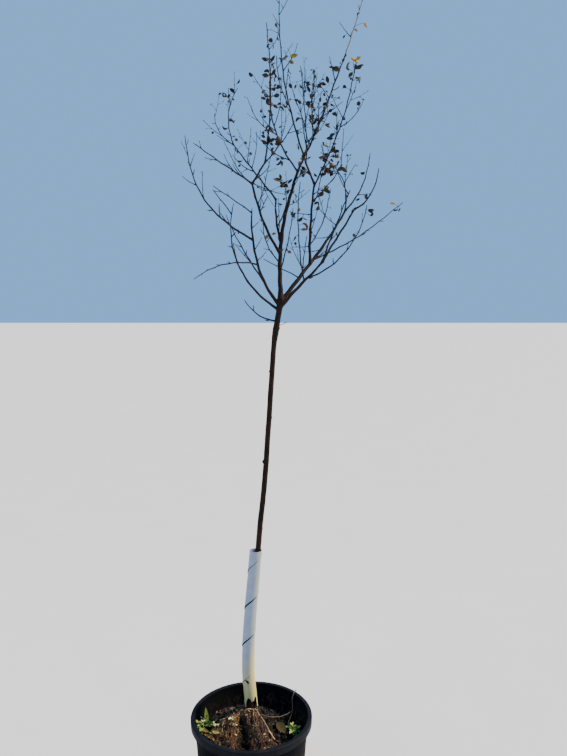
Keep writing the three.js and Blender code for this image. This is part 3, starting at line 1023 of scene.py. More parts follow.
# Painted sunlight: the guard's right side, following its lean, is painted warmer, and the warm stain
# reaches higher there.
lean = height.between(0.44, 0.778) * 0.0237 - height.between(0.288, 0.41) * 0.0085 - 0.0035
painted_sunlit_side = (place.part(0) - lean).between(-0.002, 0.013)
stain = 1 - (height + film * 0.05 - painted_sunlit_side * 0.08).between(0.37, 0.49)
splash = 1 - (height + grime * 0.05).between(0.30, 0.36)
specks = place.noise(900, 2, 0.5).between(0.66, 0.74)
colour = film.between(0.3, 0.7).mix((0.205, 0.248, 0.322), (0.275, 0.315, 0.378))
colour = (streaks.between(0.55, 0.75) * 0.35).mix(colour, (0.225, 0.243, 0.262))
colour = (painted_sunlit_side * 0.8).mix(colour, (0.262, 0.280, 0.252))
colour = (stain * 0.9).mix(colour, (0.52, 0.43, 0.155))
colour = (splash * grime.between(0.42, 0.62) * 0.85).mix(colour, (0.13, 0.090, 0.055))
colour = (specks * 0.5).mix(colour, (0.25, 0.22, 0.17))
ripple = place.stretched(1, 1, 0.25).noise(70, 2, 0.4)
roughness = 0.36 + film * 0.2 + splash * 0.2
coat(shader, colour, roughness, (ripple * 0.85 + streaks * 0.15).bump(0.0012, 0.5))
take_finish(guard, guard_white)
belongs(guard, "guard_plastic", "trunk_guard")

# Limbs
# The trunk and its limbs are bowed, tapering bars, with the same sizes in millimetres as the frame
# has. Each row gives the limb that it grows on, the fraction of that limb's length where it
# leaves, its reach from foot to tip, how far its middle stands off, and its thickness at both ends.
limb_rows = {
    "bough_centre": ("trunk", 1, (50, 60, 370), (-20, 0, 5), (14, 8)),
    "bough_right": ("trunk", 0.995, (195, 130, 275), (5, 0, -5), (13, 6)),
    "bough_right_low": ("trunk", 0.98, (115, -110, 120), (0, 0, 0), (11, 6)),
    "bough_left_low": ("trunk", 0.985, (-75, -70, 255), (-25, 0, -10), (10, 4.5)),
    "bough_far_left": ("trunk", 0.975, (-115, -190, 260), (-50, 5, -15), (8, 3)),
    "twig_low_left": ("trunk", 0.95, (-90, -20, 55), (-5, 0, -12), (5, 2.5)),
    "leader_low": ("bough_right", 0.42, (10, -15, 225), (-5, 0, 0), (9, 6)),
    "leader": ("leader_low", 1, (-100, -40, 510), (-30, 0, -5), (6, 2)),
    "leader_twin": ("leader", 0.42, (-35, -65, 105), (-10, 0, 0), (3, 2)),
    "shoot_top_back": ("leader", 0.11, (-15, 45, 280), (5, 0, 0), (3.5, 2)),
    "shoot_right_tall": ("leader_low", 0.96, (105, -140, 300), (15, 5, 0), (4.5, 2.2)),
    "shoot_right_side": ("leader_low", 0.78, (75, -85, 80), (5, 5, 0), (3.5, 2)),
    "shoot_right_mid": ("leader_low", 0.23, (65, 70, 170), (10, 0, -5), (3.5, 2)),
    "shoot_centre_right": ("bough_centre", 1, (190, 40, 505), (10, 0, -5), (6, 2.5)),
    "shoot_centre_left": ("bough_centre", 0.99, (-75, 90, 335), (-35, 0, -10), (5, 2.2)),
    "shoot_top_right": ("shoot_centre_right", 0.21, (5, 90, 205), (-10, 0, 0), (3, 2)),
    "shoot_front_centre": ("bough_centre", 0.2, (35, -75, 160), (5, 0, 0), (4, 2)),
    "shoot_front_left": ("bough_centre", 0.27, (-45, -85, 100), (-10, 0, -5), (4, 2)),
    "bough_left": ("bough_centre", 0.34, (-75, -100, 175), (-10, 0, -5), (9, 6)),
    "shoot_left_out": ("bough_left", 1, (-140, -90, 80), (0, 0, 0), (5, 2.2)),
    "limb_left_up": ("bough_left", 1, (35, -5, 55), (0, 0, 0), (5.5, 4.5)),
    "shoot_left_tall": ("limb_left_up", 1, (5, -15, 345), (12, 0, 0), (4.5, 2.2)),
    "shoot_left_fork": ("limb_left_up", 0.97, (75, -80, 80), (5, 5, 0), (3.5, 2)),
    "bough_back_left": ("bough_centre", 0.42, (-15, 50, 130), (-5, 0, 0), (8, 5.5)),
    "limb_back_left": ("bough_back_left", 1, (-130, 90, 180), (0, 0, 0), (5.5, 3.5)),
    "shoot_back_left": ("limb_back_left", 1, (10, 30, 170), (-20, 0, 0), (3.5, 2)),
    "shoot_back_left_out": ("limb_back_left", 0.98, (-65, 70, 110), (-15, 0, -5), (3.2, 2)),
    "shoot_back_inner": ("bough_back_left", 0.37, (20, 60, 130), (15, 0, 0), (4, 2)),
    "bough_left_long": ("bough_left_low", 0.73, (-200, 120, 305), (-40, 0, -30), (6, 2.2)),
    "bough_left_back": ("bough_left_low", 0.28, (-115, 110, 200), (-5, 0, -5), (5, 2.2)),
    "shoot_left_low": ("bough_left_low", 0.98, (-95, -40, 60), (0, 0, 0), (3.5, 2)),
    "limb_arching": ("bough_left_low", 0.48, (-155, -145, -45), (-5, 0, 20), (4.5, 2)),
    "shoot_far_left": ("bough_far_left", 0.94, (-40, -40, 50), (0, 0, 0), (3, 2)),
    "shoot_right_out": ("bough_right", 1, (80, 70, 180), (15, 0, -5), (5, 2.2)),
    "shoot_right_up": ("bough_right", 0.98, (-60, -40, 145), (25, 0, 10), (4, 2)),
    "limb_right_far": ("bough_right", 0.46, (280, 135, 185), (0, 0, -15), (5, 2)),
    "twig_back_right": ("bough_right", 0.3, (15, 50, 110), (0, 0, 0), (3.5, 2)),
    "twig_cross": ("bough_right", 0.26, (-100, 35, 55), (0, 0, 0), (3.5, 2)),
    "limb_right_outer": ("bough_right_low", 1, (75, -80, 125), (0, 0, 0), (6, 4.5)),
    "shoot_right_outer": ("limb_right_outer", 1, (50, -70, 80), (10, 0, -12), (4.5, 2.2)),
    "limb_right_inner": ("bough_right_low", 0.97, (65, -90, 170), (0, 0, 0), (5, 2.2)),
    "limb_right_below": ("bough_right_low", 0.66, (160, 0, 190), (25, 0, -25), (4.5, 2)),
    "shoot_front_right": ("bough_right_low", 0.6, (-15, -120, 235), (-10, 5, 0), (4, 2)),
}

wobble_fade = 0.03
full_wobble_length = 0.2
short_wave_share = 0.3
beside_waves = (0.021, 0.047)
across_waves = (0.026, 0.055)
bud_spacing = (0.024, 0.031)


def waved(distance, lengths, starts):
    """A long wave with a shorter and lower one on it."""
    short = np.sin(distance / lengths[0] + starts[0])
    return short * short_wave_share + np.sin(distance / lengths[1] + starts[1])


class Limb:
    """A bowed bar. Its wobble and its kinks at the buds fade out at its foot and its tip."""

    def __init__(self, foot, reach, bow, thick, wobble=1.0, kink=0.8, sways=None):
        self.foot = np.asarray(foot, float)
        self.reach = np.asarray(reach, float) * MM
        self.bow = np.asarray(bow, float) * MM
        self.thick = thick
        self.sways = sways
        self.length = float(np.linalg.norm(self.reach))
        along = self.reach / self.length
        self.beside = unit(np.cross(along, (0.31, 0.95, 0.05)))
        self.across = np.cross(along, self.beside)
        self.wobble = wobble * MM * min(1, self.length / full_wobble_length)
        self.kink = kink * MM
        self.phases = [chance.uniform(0, 2 * math.pi) for _ in range(4)]
        self.buds = chance.uniform(*bud_spacing)

    def at(self, fraction):
        t = np.atleast_1d(np.asarray(fraction, float))
        s = t * self.length
        fade = np.clip(np.minimum(t, 1 - t) * self.length / wobble_fade, 0, 1)
        side = self.wobble * waved(s, beside_waves, self.phases[:2])
        turn = self.wobble * waved(s, across_waves, self.phases[2:])
        zigzag = self.kink * (4 * np.abs(s / (2 * self.buds) % 1 - 0.5) - 1)
        points = self.foot + t[:, None] * self.reach + (4 * t * (1 - t))[:, None] * self.bow
        points = points + (fade * (side + zigzag))[:, None] * self.beside
        points = points + (fade * turn)[:, None] * self.across
        if self.sways:
            points[:, 0] += swayed(self.sways, t)
        return points

    def point(self, fraction):
        return self.at(fraction)[0]

    def heading(self, fraction):
        step = 0.01
        way = self.point(min(fraction + step, 1)) - self.point(max(fraction - step, 0))
        return unit(way)

    def radius(self, fraction):
        return (self.thick[0] + (self.thick[1] - self.thick[0]) * np.asarray(fraction, float)) / 2 * MM


chance.seed(46)
trunk_sways = [0, -10.5, -16.5, -15.5, -12.8, -10.8, -8.2, -8, -10.3, -9, 0]
trunk_reach = (90, -10, 1225)
trunk_thick = (18, 15)
root_flare, root_flare_height = 11, 0.030
fork_swell, fork_swell_height = 5, 0.045
knot_swell, knot_below_fork, knot_height = 3.5, 0.092, 0.022
trunk = Limb(trunk_foot, trunk_reach, (0, 0, 0), trunk_thick, wobble=0.6, kink=0, sways=trunk_sways)


def trunk_radius(fraction):
    """The trunk tapers upwards, flares at the soil, and swells at the fork and under it."""
    t = np.asarray(fraction, float)
    below = t * trunk.length
    above = (1 - t) * trunk.length
    flare = root_flare * np.exp(-below / root_flare_height)
    swelling = fork_swell * np.exp(-above / fork_swell_height)
    swelling = swelling + knot_swell * np.exp(-(((above - knot_below_fork) / knot_height) ** 2))
    return (trunk_thick[0] + (trunk_thick[1] - trunk_thick[0]) * t + flare + swelling) / 2 * MM


trunk.radius = trunk_radius
limbs = {"trunk": trunk}
for name, (parent, fraction, reach, bow, thick) in limb_rows.items():
    foot = limbs[parent].point(fraction)
    limbs[name] = Limb(foot, reach, bow, thick)

# Bark
# The trunk and the boughs have one continuous skin of smooth young bark, grey-brown and a little
# red, with collars where limbs leave, healed pruning cuts, low ridges and pale breathing pores.
collar_swell = 0.45
collar_reach = 1.6
bud_reach = 0.0022


def collar(distance, radius):
    """How much thicker a limb is close to its foot."""
    return 1 + collar_swell * np.exp(-distance / (collar_reach * radius + 0.002))


def node_swell(distance, spacing, size):
    """How much thicker a limb is at its buds, which stand spacing apart."""
    away = np.abs(distance / spacing - np.round(distance / spacing)) * spacing
    return 1 + size * np.exp(-((away / bud_reach) ** 2))


def limb_bar(limb, stretch, sides, swell=0):
    """A limb's bar in stretches of a length, with a collar at its foot and swellings at its buds."""
    fractions = np.linspace(0, 1, int(limb.length / stretch) + 1)
    distance = fractions * limb.length
    radii = limb.radius(fractions)
    if limb is not trunk:
        radii = radii * collar(distance, float(limb.radius(0)))
    radii = radii * node_swell(distance, limb.buds, swell)
    return round_bar(limb.at(fractions), radii, sides)


skin_thickness = 7.5
skin_grain = 0.00135
skin_stretch = 0.006
skinned = [name for name, limb in limbs.items() if limb is trunk or limb.thick[0] >= skin_thickness]
skin = Gathered()
for name in skinned:
    skin.add(*limb_bar(limbs[name], skin_stretch, 18 if name == "trunk" else 14))

# Healed pruning cuts on the trunk: fraction of its height, way round in degrees, stub size
cuts = [
    (0.10, 200, 5), (0.31, 75, 4), (0.45, 330, 4.5), (0.615, 185, 6.5),
    (0.72, 20, 4), (0.83, 140, 5), (0.93, 5, 5),
]
for fraction, way, size in cuts:
    turn = math.radians(way)
    out = unit([math.cos(turn), -math.sin(turn) * 0.8, 0.45])
    start = trunk.point(fraction)
    reach = float(trunk.radius(fraction)) + size * 0.45 * MM
    ends = [start + out * reach * k for k in (0.2, 0.6, 1)]
    skin.add(*round_bar(ends, [size * 1.3 * MM, size * 0.95 * MM, size * 0.62 * MM], 12))
bark_skin = skin.piece("bark_trunk_and_boughs")
add_modifier(bark_skin, "REMESH", mode="VOXEL", voxel_size=skin_grain)
add_modifier(bark_skin, "SMOOTH", iterations=6, factor=0.5)

ridge_height = 0.00022
lump_height = 0.00042
wrinkle_height = 0.00012


def relief(point):
    """Height of the bark's ridges, rings and pores over its smooth form."""
    x, y, z = point
    ridges = noise.fractal(Vector((x * 210, y * 210, z * 34)), 0.9, 2.1, 3)
    lumps = noise.noise(Vector((x * 70, y * 70, z * 45)))
    wrinkles = noise.noise(Vector((x * 60, y * 60, z * 420)))
    return ridge_height * ridges + lump_height * lumps + wrinkle_height * wrinkles


def raised(piece, height):
    """Moves every point of a piece along its normal by height(point)."""
    mesh = piece.data
    points = np.empty(len(mesh.vertices) * 3)
    normals = np.empty(len(mesh.vertices) * 3)
    mesh.vertices.foreach_get("co", points)
    mesh.vertices.foreach_get("normal", normals)
    points = points.reshape(-1, 3)
    heights = np.array([height(point) for point in points])
    points = points + normals.reshape(-1, 3) * heights[:, None]
    mesh.vertices.foreach_set("co", points.ravel())
    mesh.polygons.foreach_set("use_smooth", [True] * len(mesh.polygons))
    mesh.update()


raised(bark_skin, relief)

bark_brown, shader, place = new_finish("bark_brown", gloss=0.12)
height = place.part(2)
streaks = place.stretched(1, 1, 0.16).noise(230, 6, 0.62)
patches = place.stretched(1, 1, 0.5).noise(34, 5, 0.6)
fine = place.noise(900, 3, 0.6)
pores = 1 - place.stretched(1, 1, 2.8).cells(150).between(0.13, 0.2)
rings = place.stretched(0.25, 0.25, 1).noise(420, 2, 0.5).between(0.58, 0.66)
young = height.between(1.45, 1.95)
base = patches.between(0.32, 0.68).mix((0.0048, 0.0020, 0.0012), (0.025, 0.0094, 0.0042))
base = (young * 0.7).mix(base, (0.0065, 0.0042, 0.0038))
base = (streaks.between(0.46, 0.66) * 0.55).mix(base, (0.0040, 0.0028, 0.0025))
base = ((1 - streaks.between(0.30, 0.42)) * 0.45).mix(base, (0.050, 0.022, 0.0098))
base = (rings * 0.2).mix(base, (0.052, 0.033, 0.023))
base = (pores * 0.45).mix(base, (0.095, 0.066, 0.046))
ridged = (streaks * 0.5 + fine * 0.15 + pores * 0.35 + rings * 0.12).bump(0.0007, 0.8)
coat(shader, base, 0.66 + fine * 0.2 - pores * 0.06, ridged)
take_finish(bark_skin, bark_brown)
belongs(bark_skin, "bark", *skinned)

# Shoots
# Thinner limbs go on from the boughs as slim, slightly zigzag bars of smooth red-brown bark, each
# thickened a little at every bud.
shoot_names = [name for name in limbs if name not in skinned]
shoots = Gathered()
shoot_stretch = 0.0042
bud_swell = 0.16
for name in shoot_names:
    shoots.add(*limb_bar(limbs[name], shoot_stretch, 9, bud_swell))
shoot_bark, shader, place = new_finish("shoot_bark", gloss=0.12)
across = place.part(0)
height = place.part(2)
mottle = place.noise(48, 4, 0.6)
streaks = place.stretched(1, 1, 0.3).noise(420, 4, 0.6)
pores = 1 - place.stretched(1, 1, 1.6).cells(260).between(0.12, 0.19)
base = mottle.between(0.35, 0.66).mix((0.0065, 0.0044, 0.0042), (0.021, 0.0120, 0.0098))
base = (streaks.between(0.5, 0.7) * 0.5).mix(base, (0.0070, 0.0052, 0.0050))
base = (pores * 0.45).mix(base, (0.095, 0.068, 0.052))
# Shoots high in the crown are paler, partly young bark and partly painted sunlight, and the tip of the
# tallest shoot on the right has a painted sunlit patch.
base = (height.between(2.10, 2.36) * 0.45).mix(base, (0.070, 0.042, 0.036))
sunlit = height.between(2.17, 2.23) * across.between(0.185, 0.215)
base = (sunlit * 0.85).mix(base, (0.240, 0.165, 0.110))
coat(shader, base, 0.52 + mottle * 0.22, (streaks * 0.6 + pores * 0.4).bump(0.0004, 0.8))
belongs(shoots.piece("bark_shoots", shoot_bark), "bark", *shoot_names)

# Twigs, spurs and buds
# Every limb carries them by one rule. At each bud a twig, a short spur or only the bud stands,
# each a little over a third of a turn round from the last, and all of them bend up to the light.
chance.seed(47)
twigs = Gathered()
buds = Gathered()
perches = {name: [] for name in limbs}
grown_on = {"limb": "trunk", "at": 0.0}
limb_bud = 0.0048
twig_bud = 0.0042
spur_bud = 0.0065
tip_bud = 0.007
twig_taper = 0.5
side_twig_share = 0.42
side_spur_share = 0.22
thickest_twig = 0.0014
thickest_spur = 0.0019
frame_margin = 0.006
safe_low = np.array(frame_box[0]) - frame_margin
safe_high = np.array(frame_box[1]) + frame_margin


def keep_perch(spot, way):
    """Remembers a place where a leaf may hang, with the limb and the fraction of it."""
    perches[grown_on["limb"]].append((grown_on["at"], spot, unit(way)))


def leaning_out(way, turn, angle):
    """A direction that leaves way at an angle, at a turn round it."""
    side = unit(np.cross(way, (0.13, 0.31, 0.94)))
    over = np.cross(way, side)
    out = side * math.cos(turn) + over * math.sin(turn)
    return unit(way * math.cos(angle) + out * math.sin(angle))


def grown_path(start, way, length, step, lift, stray):
    """Points of a twig that grows on from start and turns up to the light as it goes."""
    steps = max(2, int(length / step))
    points = [np.asarray(start, float)]
    heading = unit(way)
    for i in range(steps):
        wander = np.array([chance.gauss(0, stray) for _ in range(3)])
        heading = unit(heading + np.array([0, 0, lift]) + wander)
        points.append(points[-1] + heading * (length / steps))
    return np.array(points)


def add_bud(foot, way, size):
    """A pointed bud, a third as wide as it is long."""
    way = unit(way)
    ends = [foot, foot + way * size * 0.35, foot + way * size * 0.72, foot + way * size]
    buds.add(*round_bar(ends, [size * 0.13, size * 0.2, size * 0.13, size * 0.02], 6))


def inside(points):
    return bool(np.all(points > safe_low) and np.all(points < safe_high))


def add_twig(start, way, length, radius, depth):
    """A twig with its buds, and shorter ones on it while depth lasts."""
    path = grown_path(start, way, length, step=0.008, lift=0.055, stray=0.05)
    if not inside(path):
        return
    fractions = np.linspace(0, 1, len(path))
    radii = radius * (1 - twig_taper * fractions) * (1 + 0.5 * np.exp(-fractions * length / 0.003))
    radii = radii * (1 + 0.14 * np.cos(fractions * length / 0.0125 * math.pi) ** 8)
    twigs.add(*round_bar(path, radii, 6))
    end_way = path[-1] - path[-2]
    add_bud(path[-1] - unit(end_way) * 0.0005, end_way, chance.uniform(0.0045, 0.0065))
    keep_perch(path[-1], end_way)
    turn = chance.uniform(0, 2 * math.pi)
    spacing = chance.uniform(0.017, 0.024)
    for s in np.arange(spacing, length - 0.006, spacing):
        k = s / length * (len(path) - 1)
        i = min(int(k), len(path) - 2)
        foot = path[i] + (path[i + 1] - path[i]) * (k - i)
        heading = unit(path[i + 1] - path[i])
        turn += golden_turn + chance.uniform(-0.3, 0.3)
        side_way = leaning_out(heading, turn, chance.uniform(0.7, 1.0))
        here = radius * (1 - twig_taper * s / length)
        if depth and s > 0.25 * length and chance.random() < side_twig_share:
            room = length - s
            add_twig(foot, side_way, room * chance.uniform(0.45, 0.95), here * 0.75, depth - 1)
        elif chance.random() < side_spur_share:
            add_spur(foot, side_way, chance.uniform(0.005, 0.011), here * 1.05)
        else:
            add_bud(foot + side_way * here * 0.6, leaning_out(heading, turn, 0.45), twig_bud)
            keep_perch(foot + side_way * here, side_way)


def add_spur(start, way, length, radius):
    """A short stout side growth, ringed by old bud scars, with a fat bud on its end."""
    path = grown_path(start, way, length, step=0.0022, lift=0.10, stray=0.08)
    if not inside(path):
        return
    fractions = np.linspace(0, 1, len(path))
    radii = radius * (0.95 + 0.22 * np.cos(fractions * 9) - 0.08 * fractions)
    twigs.add(*round_bar(path, radii, 6))
    add_bud(path[-1], path[-1] - path[-2], spur_bud)
    keep_perch(path[-1], path[-1] - path[-2])


def clothe(name, start, twig_share, spur_share, longest):
    """Sets twigs, spurs and buds along a limb from a fraction of its length to its tip."""
    limb = limbs[name]
    grown_on["limb"] = name
    turn = chance.uniform(0, 2 * math.pi)
    for s in np.arange(max(start * limb.length, 0.012), limb.length - 0.008, limb.buds):
        fraction = s / limb.length
        grown_on["at"] = fraction
        foot = limb.point(fraction)
        heading = limb.heading(fraction)
        radius = float(limb.radius(fraction))
        turn += golden_turn + chance.uniform(-0.35, 0.35)
        way = leaning_out(heading, turn, chance.uniform(0.65, 1.05))
        drawn = chance.random()
        if drawn < twig_share:
            length = longest * chance.uniform(0.3, 1) * (1 - 0.45 * fraction)
            thick = min(radius * 0.62, thickest_twig) + 0.0002
            add_twig(foot, way, length, thick, 1 if length > 0.05 else 0)
        elif drawn < twig_share + spur_share:
            length = chance.uniform(0.006, 0.014)
            add_spur(foot + way * radius * 0.5, way, length, min(radius * 0.8, thickest_spur))
        else:
            add_bud(foot + way * radius * 0.9, leaning_out(heading, turn, 0.4), limb_bud)
            keep_perch(foot + way * radius, way)
    add_bud(limb.point(1), limb.heading(1), tip_bud)


# How limbs are clothed: where it begins, shares of twigs and spurs, and the longest twig
bare = (0.2, 0.0, 0.25, 0.02)
sparse = (0.2, 0.12, 0.28, 0.05)
dense = (0.12, 0.46, 0.2, 0.17)
usual_bough = (0.35, 0.2, 0.22, 0.11)
usual_shoot = (0.16, 0.34, 0.2, 0.12)
clothing = {
    "limb_right_far": (0.3, 0.10, 0.3, 0.05),
    "bough_far_left": (0.25, 0.14, 0.28, 0.07),
    "bough_left_back": (0.2, 0.16, 0.28, 0.07),
    "bough_left_long": (0.22, 0.20, 0.3, 0.07),
    "bough_right": (0.4, 0.12, 0.25, 0.08),
    "bough_left_low": (0.4, 0.10, 0.3, 0.05),
    "shoot_right_out": (0.2, 0.2, 0.28, 0.07),
    "shoot_left_out": (0.2, 0.2, 0.28, 0.06),
    "leader_low": (0.3, 0.34, 0.22, 0.12),
    "leader": (0.05, 0.42, 0.22, 0.15),
    "shoot_right_tall": (0.08, 0.40, 0.22, 0.14),
}
clothed_alike = {
    bare: ("twig_low_left", "limb_arching", "twig_cross", "bough_right_low"),
    sparse: (
        "limb_right_below", "limb_right_outer", "limb_right_inner", "shoot_left_low",
        "shoot_far_left", "shoot_front_left", "shoot_front_centre", "shoot_right_outer",
    ),
    dense: (
        "shoot_centre_right", "shoot_centre_left", "shoot_top_back", "shoot_top_right",
        "shoot_left_tall", "shoot_back_inner", "shoot_left_fork", "shoot_right_up",
        "shoot_right_side",
    ),
}
for manner, names in clothed_alike.items():
    clothing.update(dict.fromkeys(names, manner))
for name in limb_rows:
    usual = usual_bough if name in skinned else usual_shoot
    clothe(name, *clothing.get(name, usual))

# Side shoots that the photograph shows: limb, fraction of it, and reach in millimetres
side_shoots = [
    ("shoot_back_left_out", 0.12, (-36, -12, 12)),
    ("shoot_back_left", 0.72, (-12, -14, 40)),
    ("bough_left_long", 0.78, (12, 10, 36)),
    ("bough_left_long", 0.50, (-14, 20, 76)),
    ("shoot_centre_right", 0.15, (-38, -30, 75)),
    ("shoot_centre_right", 0.22, (-24, 30, 62)),
    ("shoot_centre_right", 0.42, (-26, -24, 38)),
    ("shoot_top_back", 0.38, (-50, -20, 156)),
    ("shoot_top_back", 0.66, (-8, -16, 76)),
    ("shoot_top_right", 0.50, (10, -12, 70)),
    ("shoot_right_side", 0.98, (2, -12, 98)),
    ("limb_back_left", 0.56, (34, -24, 94)),
    ("limb_back_left", 0.66, (-2, 24, 108)),
    ("shoot_centre_left", 0.40, (-54, 24, 42)),
    ("leader_low", 0.38, (20, 14, 70)),
    ("bough_centre", 0.76, (32, 24, 92)),
    ("bough_right", 0.33, (-48, -30, 86)),
    ("bough_left_low", 0.52, (24, 12, 24)),
    ("bough_left_low", 0.63, (20, -12, 30)),
    ("bough_left_low", 0.84, (20, 8, 18)),
    ("limb_right_inner", 0.97, (-36, -18, 60)),
    ("trunk", 0.938, (26, -2, 5)),
    ("shoot_left_out", 0.14, (-66, -22, 78)),
    ("shoot_left_out", 0.34, (-28, 18, 46)),
    ("bough_left", 0.73, (42, -26, 126)),
    ("bough_left", 0.65, (18, 22, 96)),
    ("bough_back_left", 0.22, (18, -24, 88)),
    ("limb_left_up", 0.04, (88, -18, -42)),
    ("bough_right", 0.72, (-48, -16, -12)),
    ("bough_right", 0.58, (-40, 14, -10)),
    ("bough_right", 0.84, (-60, -22, 42)),
    ("leader_low", 0.62, (-46, 16, 2)),
    ("leader_low", 0.22, (-48, -14, -6)),
    ("shoot_right_out", 0.30, (26, -4, 2)),
]
for name, fraction, reach in side_shoots:
    grown_on["limb"], grown_on["at"] = name, fraction
    reach = np.array(reach) * MM
    length = float(np.linalg.norm(reach))
    way = unit(reach) - np.array([0, 0, 0.12])
    add_twig(limbs[name].point(fraction), way, length, 0.0013, 1 if length > 0.06 else 0)

twig_bark, shader, place = new_finish("twig_bark", gloss=0.12)
mottle = place.noise(60, 3, 0.6)
streaks = place.noise(700, 3, 0.6)
base = mottle.between(0.36, 0.64).mix((0.0065, 0.0043, 0.0040), (0.022, 0.0125, 0.0100))
base = (streaks.between(0.52, 0.7) * 0.3).mix(base, (0.060, 0.043, 0.035))
coat(shader, base, 0.5 + mottle * 0.25, streaks.bump(0.0002, 0.6))
belongs(twigs.piece("twigs_and_spurs", twig_bark), "bark")

bud_scale, shader, place = new_finish("bud_scale")
mottle = place.noise(300, 2, 0.5)
base = mottle.between(0.4, 0.6).mix((0.018, 0.008, 0.006), (0.052, 0.026, 0.018))
coat(shader, base, 0.4 + mottle * 0.2)
belongs(buds.piece("buds", bud_scale), "bark")

# Leaves
# A few dead leaves still hang on, small, curled up and dark, with some russet, olive and yellow
# ones among them. Each spray of them hangs from the buds and spurs of one stretch of a limb.
leaf_tints = {
    "leaf_dark_brown": ((0.0080, 0.0052, 0.0036), (0.026, 0.0150, 0.0090)),
    "leaf_olive": ((0.0150, 0.0145, 0.0036), (0.056, 0.046, 0.010)),
    "leaf_russet": ((0.018, 0.0078, 0.0026), (0.066, 0.027, 0.0064)),
    "leaf_yellow": ((0.200, 0.105, 0.006), (0.440, 0.260, 0.020)),
    "leaf_bright": ((0.170, 0.060, 0.018), (0.380, 0.165, 0.050)),
    "leaf_golden": ((0.085, 0.070, 0.006), (0.300, 0.235, 0.016)),
    "leaf_tan": ((0.085, 0.048, 0.022), (0.210, 0.130, 0.066)),
}
leaf_finishes = []
for name, (first, second) in leaf_tints.items():
    material, shader, place = new_finish(name, gloss=0.2)
    blotches = place.noise(150, 4, 0.6)
    grain = place.noise(700, 3, 0.6)
    base = blotches.between(0.32, 0.68).mix(first, second)
    base = (grain.between(0.56, 0.7) * 0.45).mix(base, tuple(0.45 * part for part in first))
    coat(shader, base, 0.55 + blotches * 0.25, grain.bump(0.0005, 0.7))
    leaf_finishes.append(material)
DARK, OLIVE, RUSSET, YELLOW, BRIGHT, GOLDEN, TAN = range(7)

chance.seed(48)
crown_leaves = Gathered()
leaf_stalks = Gathered()


def hang_leaf(spot, way, length, slot):
    """A dead leaf and its stalk, which leaves a bud and bends down under the leaf."""
    stalk = chance.uniform(0.005, 0.012)
    droop = np.array([chance.gauss(0, 0.4), chance.gauss(0, 0.4), chance.uniform(-0.9, 0.2)])
    bend = unit(way + droop * 0.4)
    end_way = unit(way * 0.5 + droop)
    knee = spot + bend * stalk * 0.5
    end = knee + end_way * stalk * 0.5
    if not inside(np.array([end + end_way * length])):
        return
    thicknesses = [0.00045, 0.0004, 0.0004]
    leaf_stalks.add(*round_bar([spot - way * 0.0008, knee, end], thicknesses, 4), slot=slot)
    curl = chance.choice((-1, 1)) * chance.uniform(0.6, 2.6)
    width = length * chance.uniform(0.55, 0.8)
    fold = chance.uniform(0.25, 1.0)
    add_leaf(crown_leaves, end, end_way, length, width, curl, fold, slot)


# Sprays: limb, stretch of it, how many leaves, and their tints
sprays = [
    ("shoot_back_left", 0.00, 0.14, 2, (DARK,)),
    ("shoot_back_left", 0.28, 0.42, 2, (DARK,)),
    ("shoot_back_left", 0.72, 1.00, 3, (DARK, DARK, OLIVE)),
    ("limb_back_left", 0.68, 0.95, 3, (DARK,)),
    ("shoot_left_tall", 0.08, 0.27, 5, (DARK, DARK, RUSSET)),
    ("shoot_left_tall", 0.38, 0.58, 6, (DARK, DARK, OLIVE)),
    ("shoot_left_tall", 0.62, 0.88, 6, (DARK, DARK, OLIVE)),
    ("shoot_centre_left", 0.12, 0.34, 4, (DARK, RUSSET)),
    ("shoot_centre_left", 0.62, 1.00, 6, (DARK, DARK, OLIVE)),
    ("shoot_left_fork", 0.30, 0.65, 4, (DARK, RUSSET)),
    ("shoot_back_inner", 0.80, 1.00, 4, (DARK, DARK, RUSSET)),
    ("leader", 0.00, 0.14, 9, (DARK, DARK, RUSSET)),
    ("leader", 0.32, 0.60, 5, (DARK, DARK, RUSSET)),
    ("leader", 0.56, 0.64, 1, (DARK,)),
    ("leader_twin", 0.85, 1.00, 2, (DARK,)),
    ("shoot_top_back", 0.32, 0.68, 4, (DARK, DARK, OLIVE)),
    ("shoot_top_right", 0.38, 0.55, 3, (DARK,)),
    ("shoot_top_right", 0.68, 0.95, 6, (DARK, DARK, OLIVE)),
    ("shoot_centre_right", 0.12, 0.48, 7, (DARK, DARK, RUSSET)),
    ("shoot_centre_right", 0.50, 0.62, 3, (DARK, OLIVE)),
    ("shoot_centre_right", 0.78, 0.88, 2, (RUSSET,)),
    ("shoot_right_tall", 0.02, 0.18, 6, (DARK, DARK, RUSSET)),
    ("shoot_right_tall", 0.25, 0.40, 8, (DARK, DARK, RUSSET)),
    ("shoot_right_tall", 0.42, 0.54, 4, (DARK, DARK, OLIVE)),
    ("shoot_right_tall", 0.84, 1.00, 6, (OLIVE, DARK)),
    ("shoot_right_up", 0.58, 1.00, 6, (DARK, DARK, RUSSET)),
    ("shoot_right_side", 0.18, 0.38, 5, (DARK, OLIVE)),
    ("shoot_right_side", 0.82, 1.00, 4, (RUSSET, OLIVE, DARK)),
    ("bough_back_left", 0.85, 1.00, 1, (DARK,)),
    ("shoot_front_right", 0.48, 0.70, 3, (DARK, OLIVE)),
    ("shoot_front_centre", 0.90, 1.00, 2, (DARK,)),
    ("leader_low", 0.58, 0.80, 4, (DARK,)),
    ("limb_right_below", 0.86, 0.96, 1, (DARK,)),
    ("limb_right_far", 0.86, 1.00, 2, (RUSSET,)),
    ("bough_left_back", 0.60, 0.90, 1, (DARK,)),
]
spray_reach = 0.028
spray_leaf = (0.013, 0.024)
perch_share = 0.75
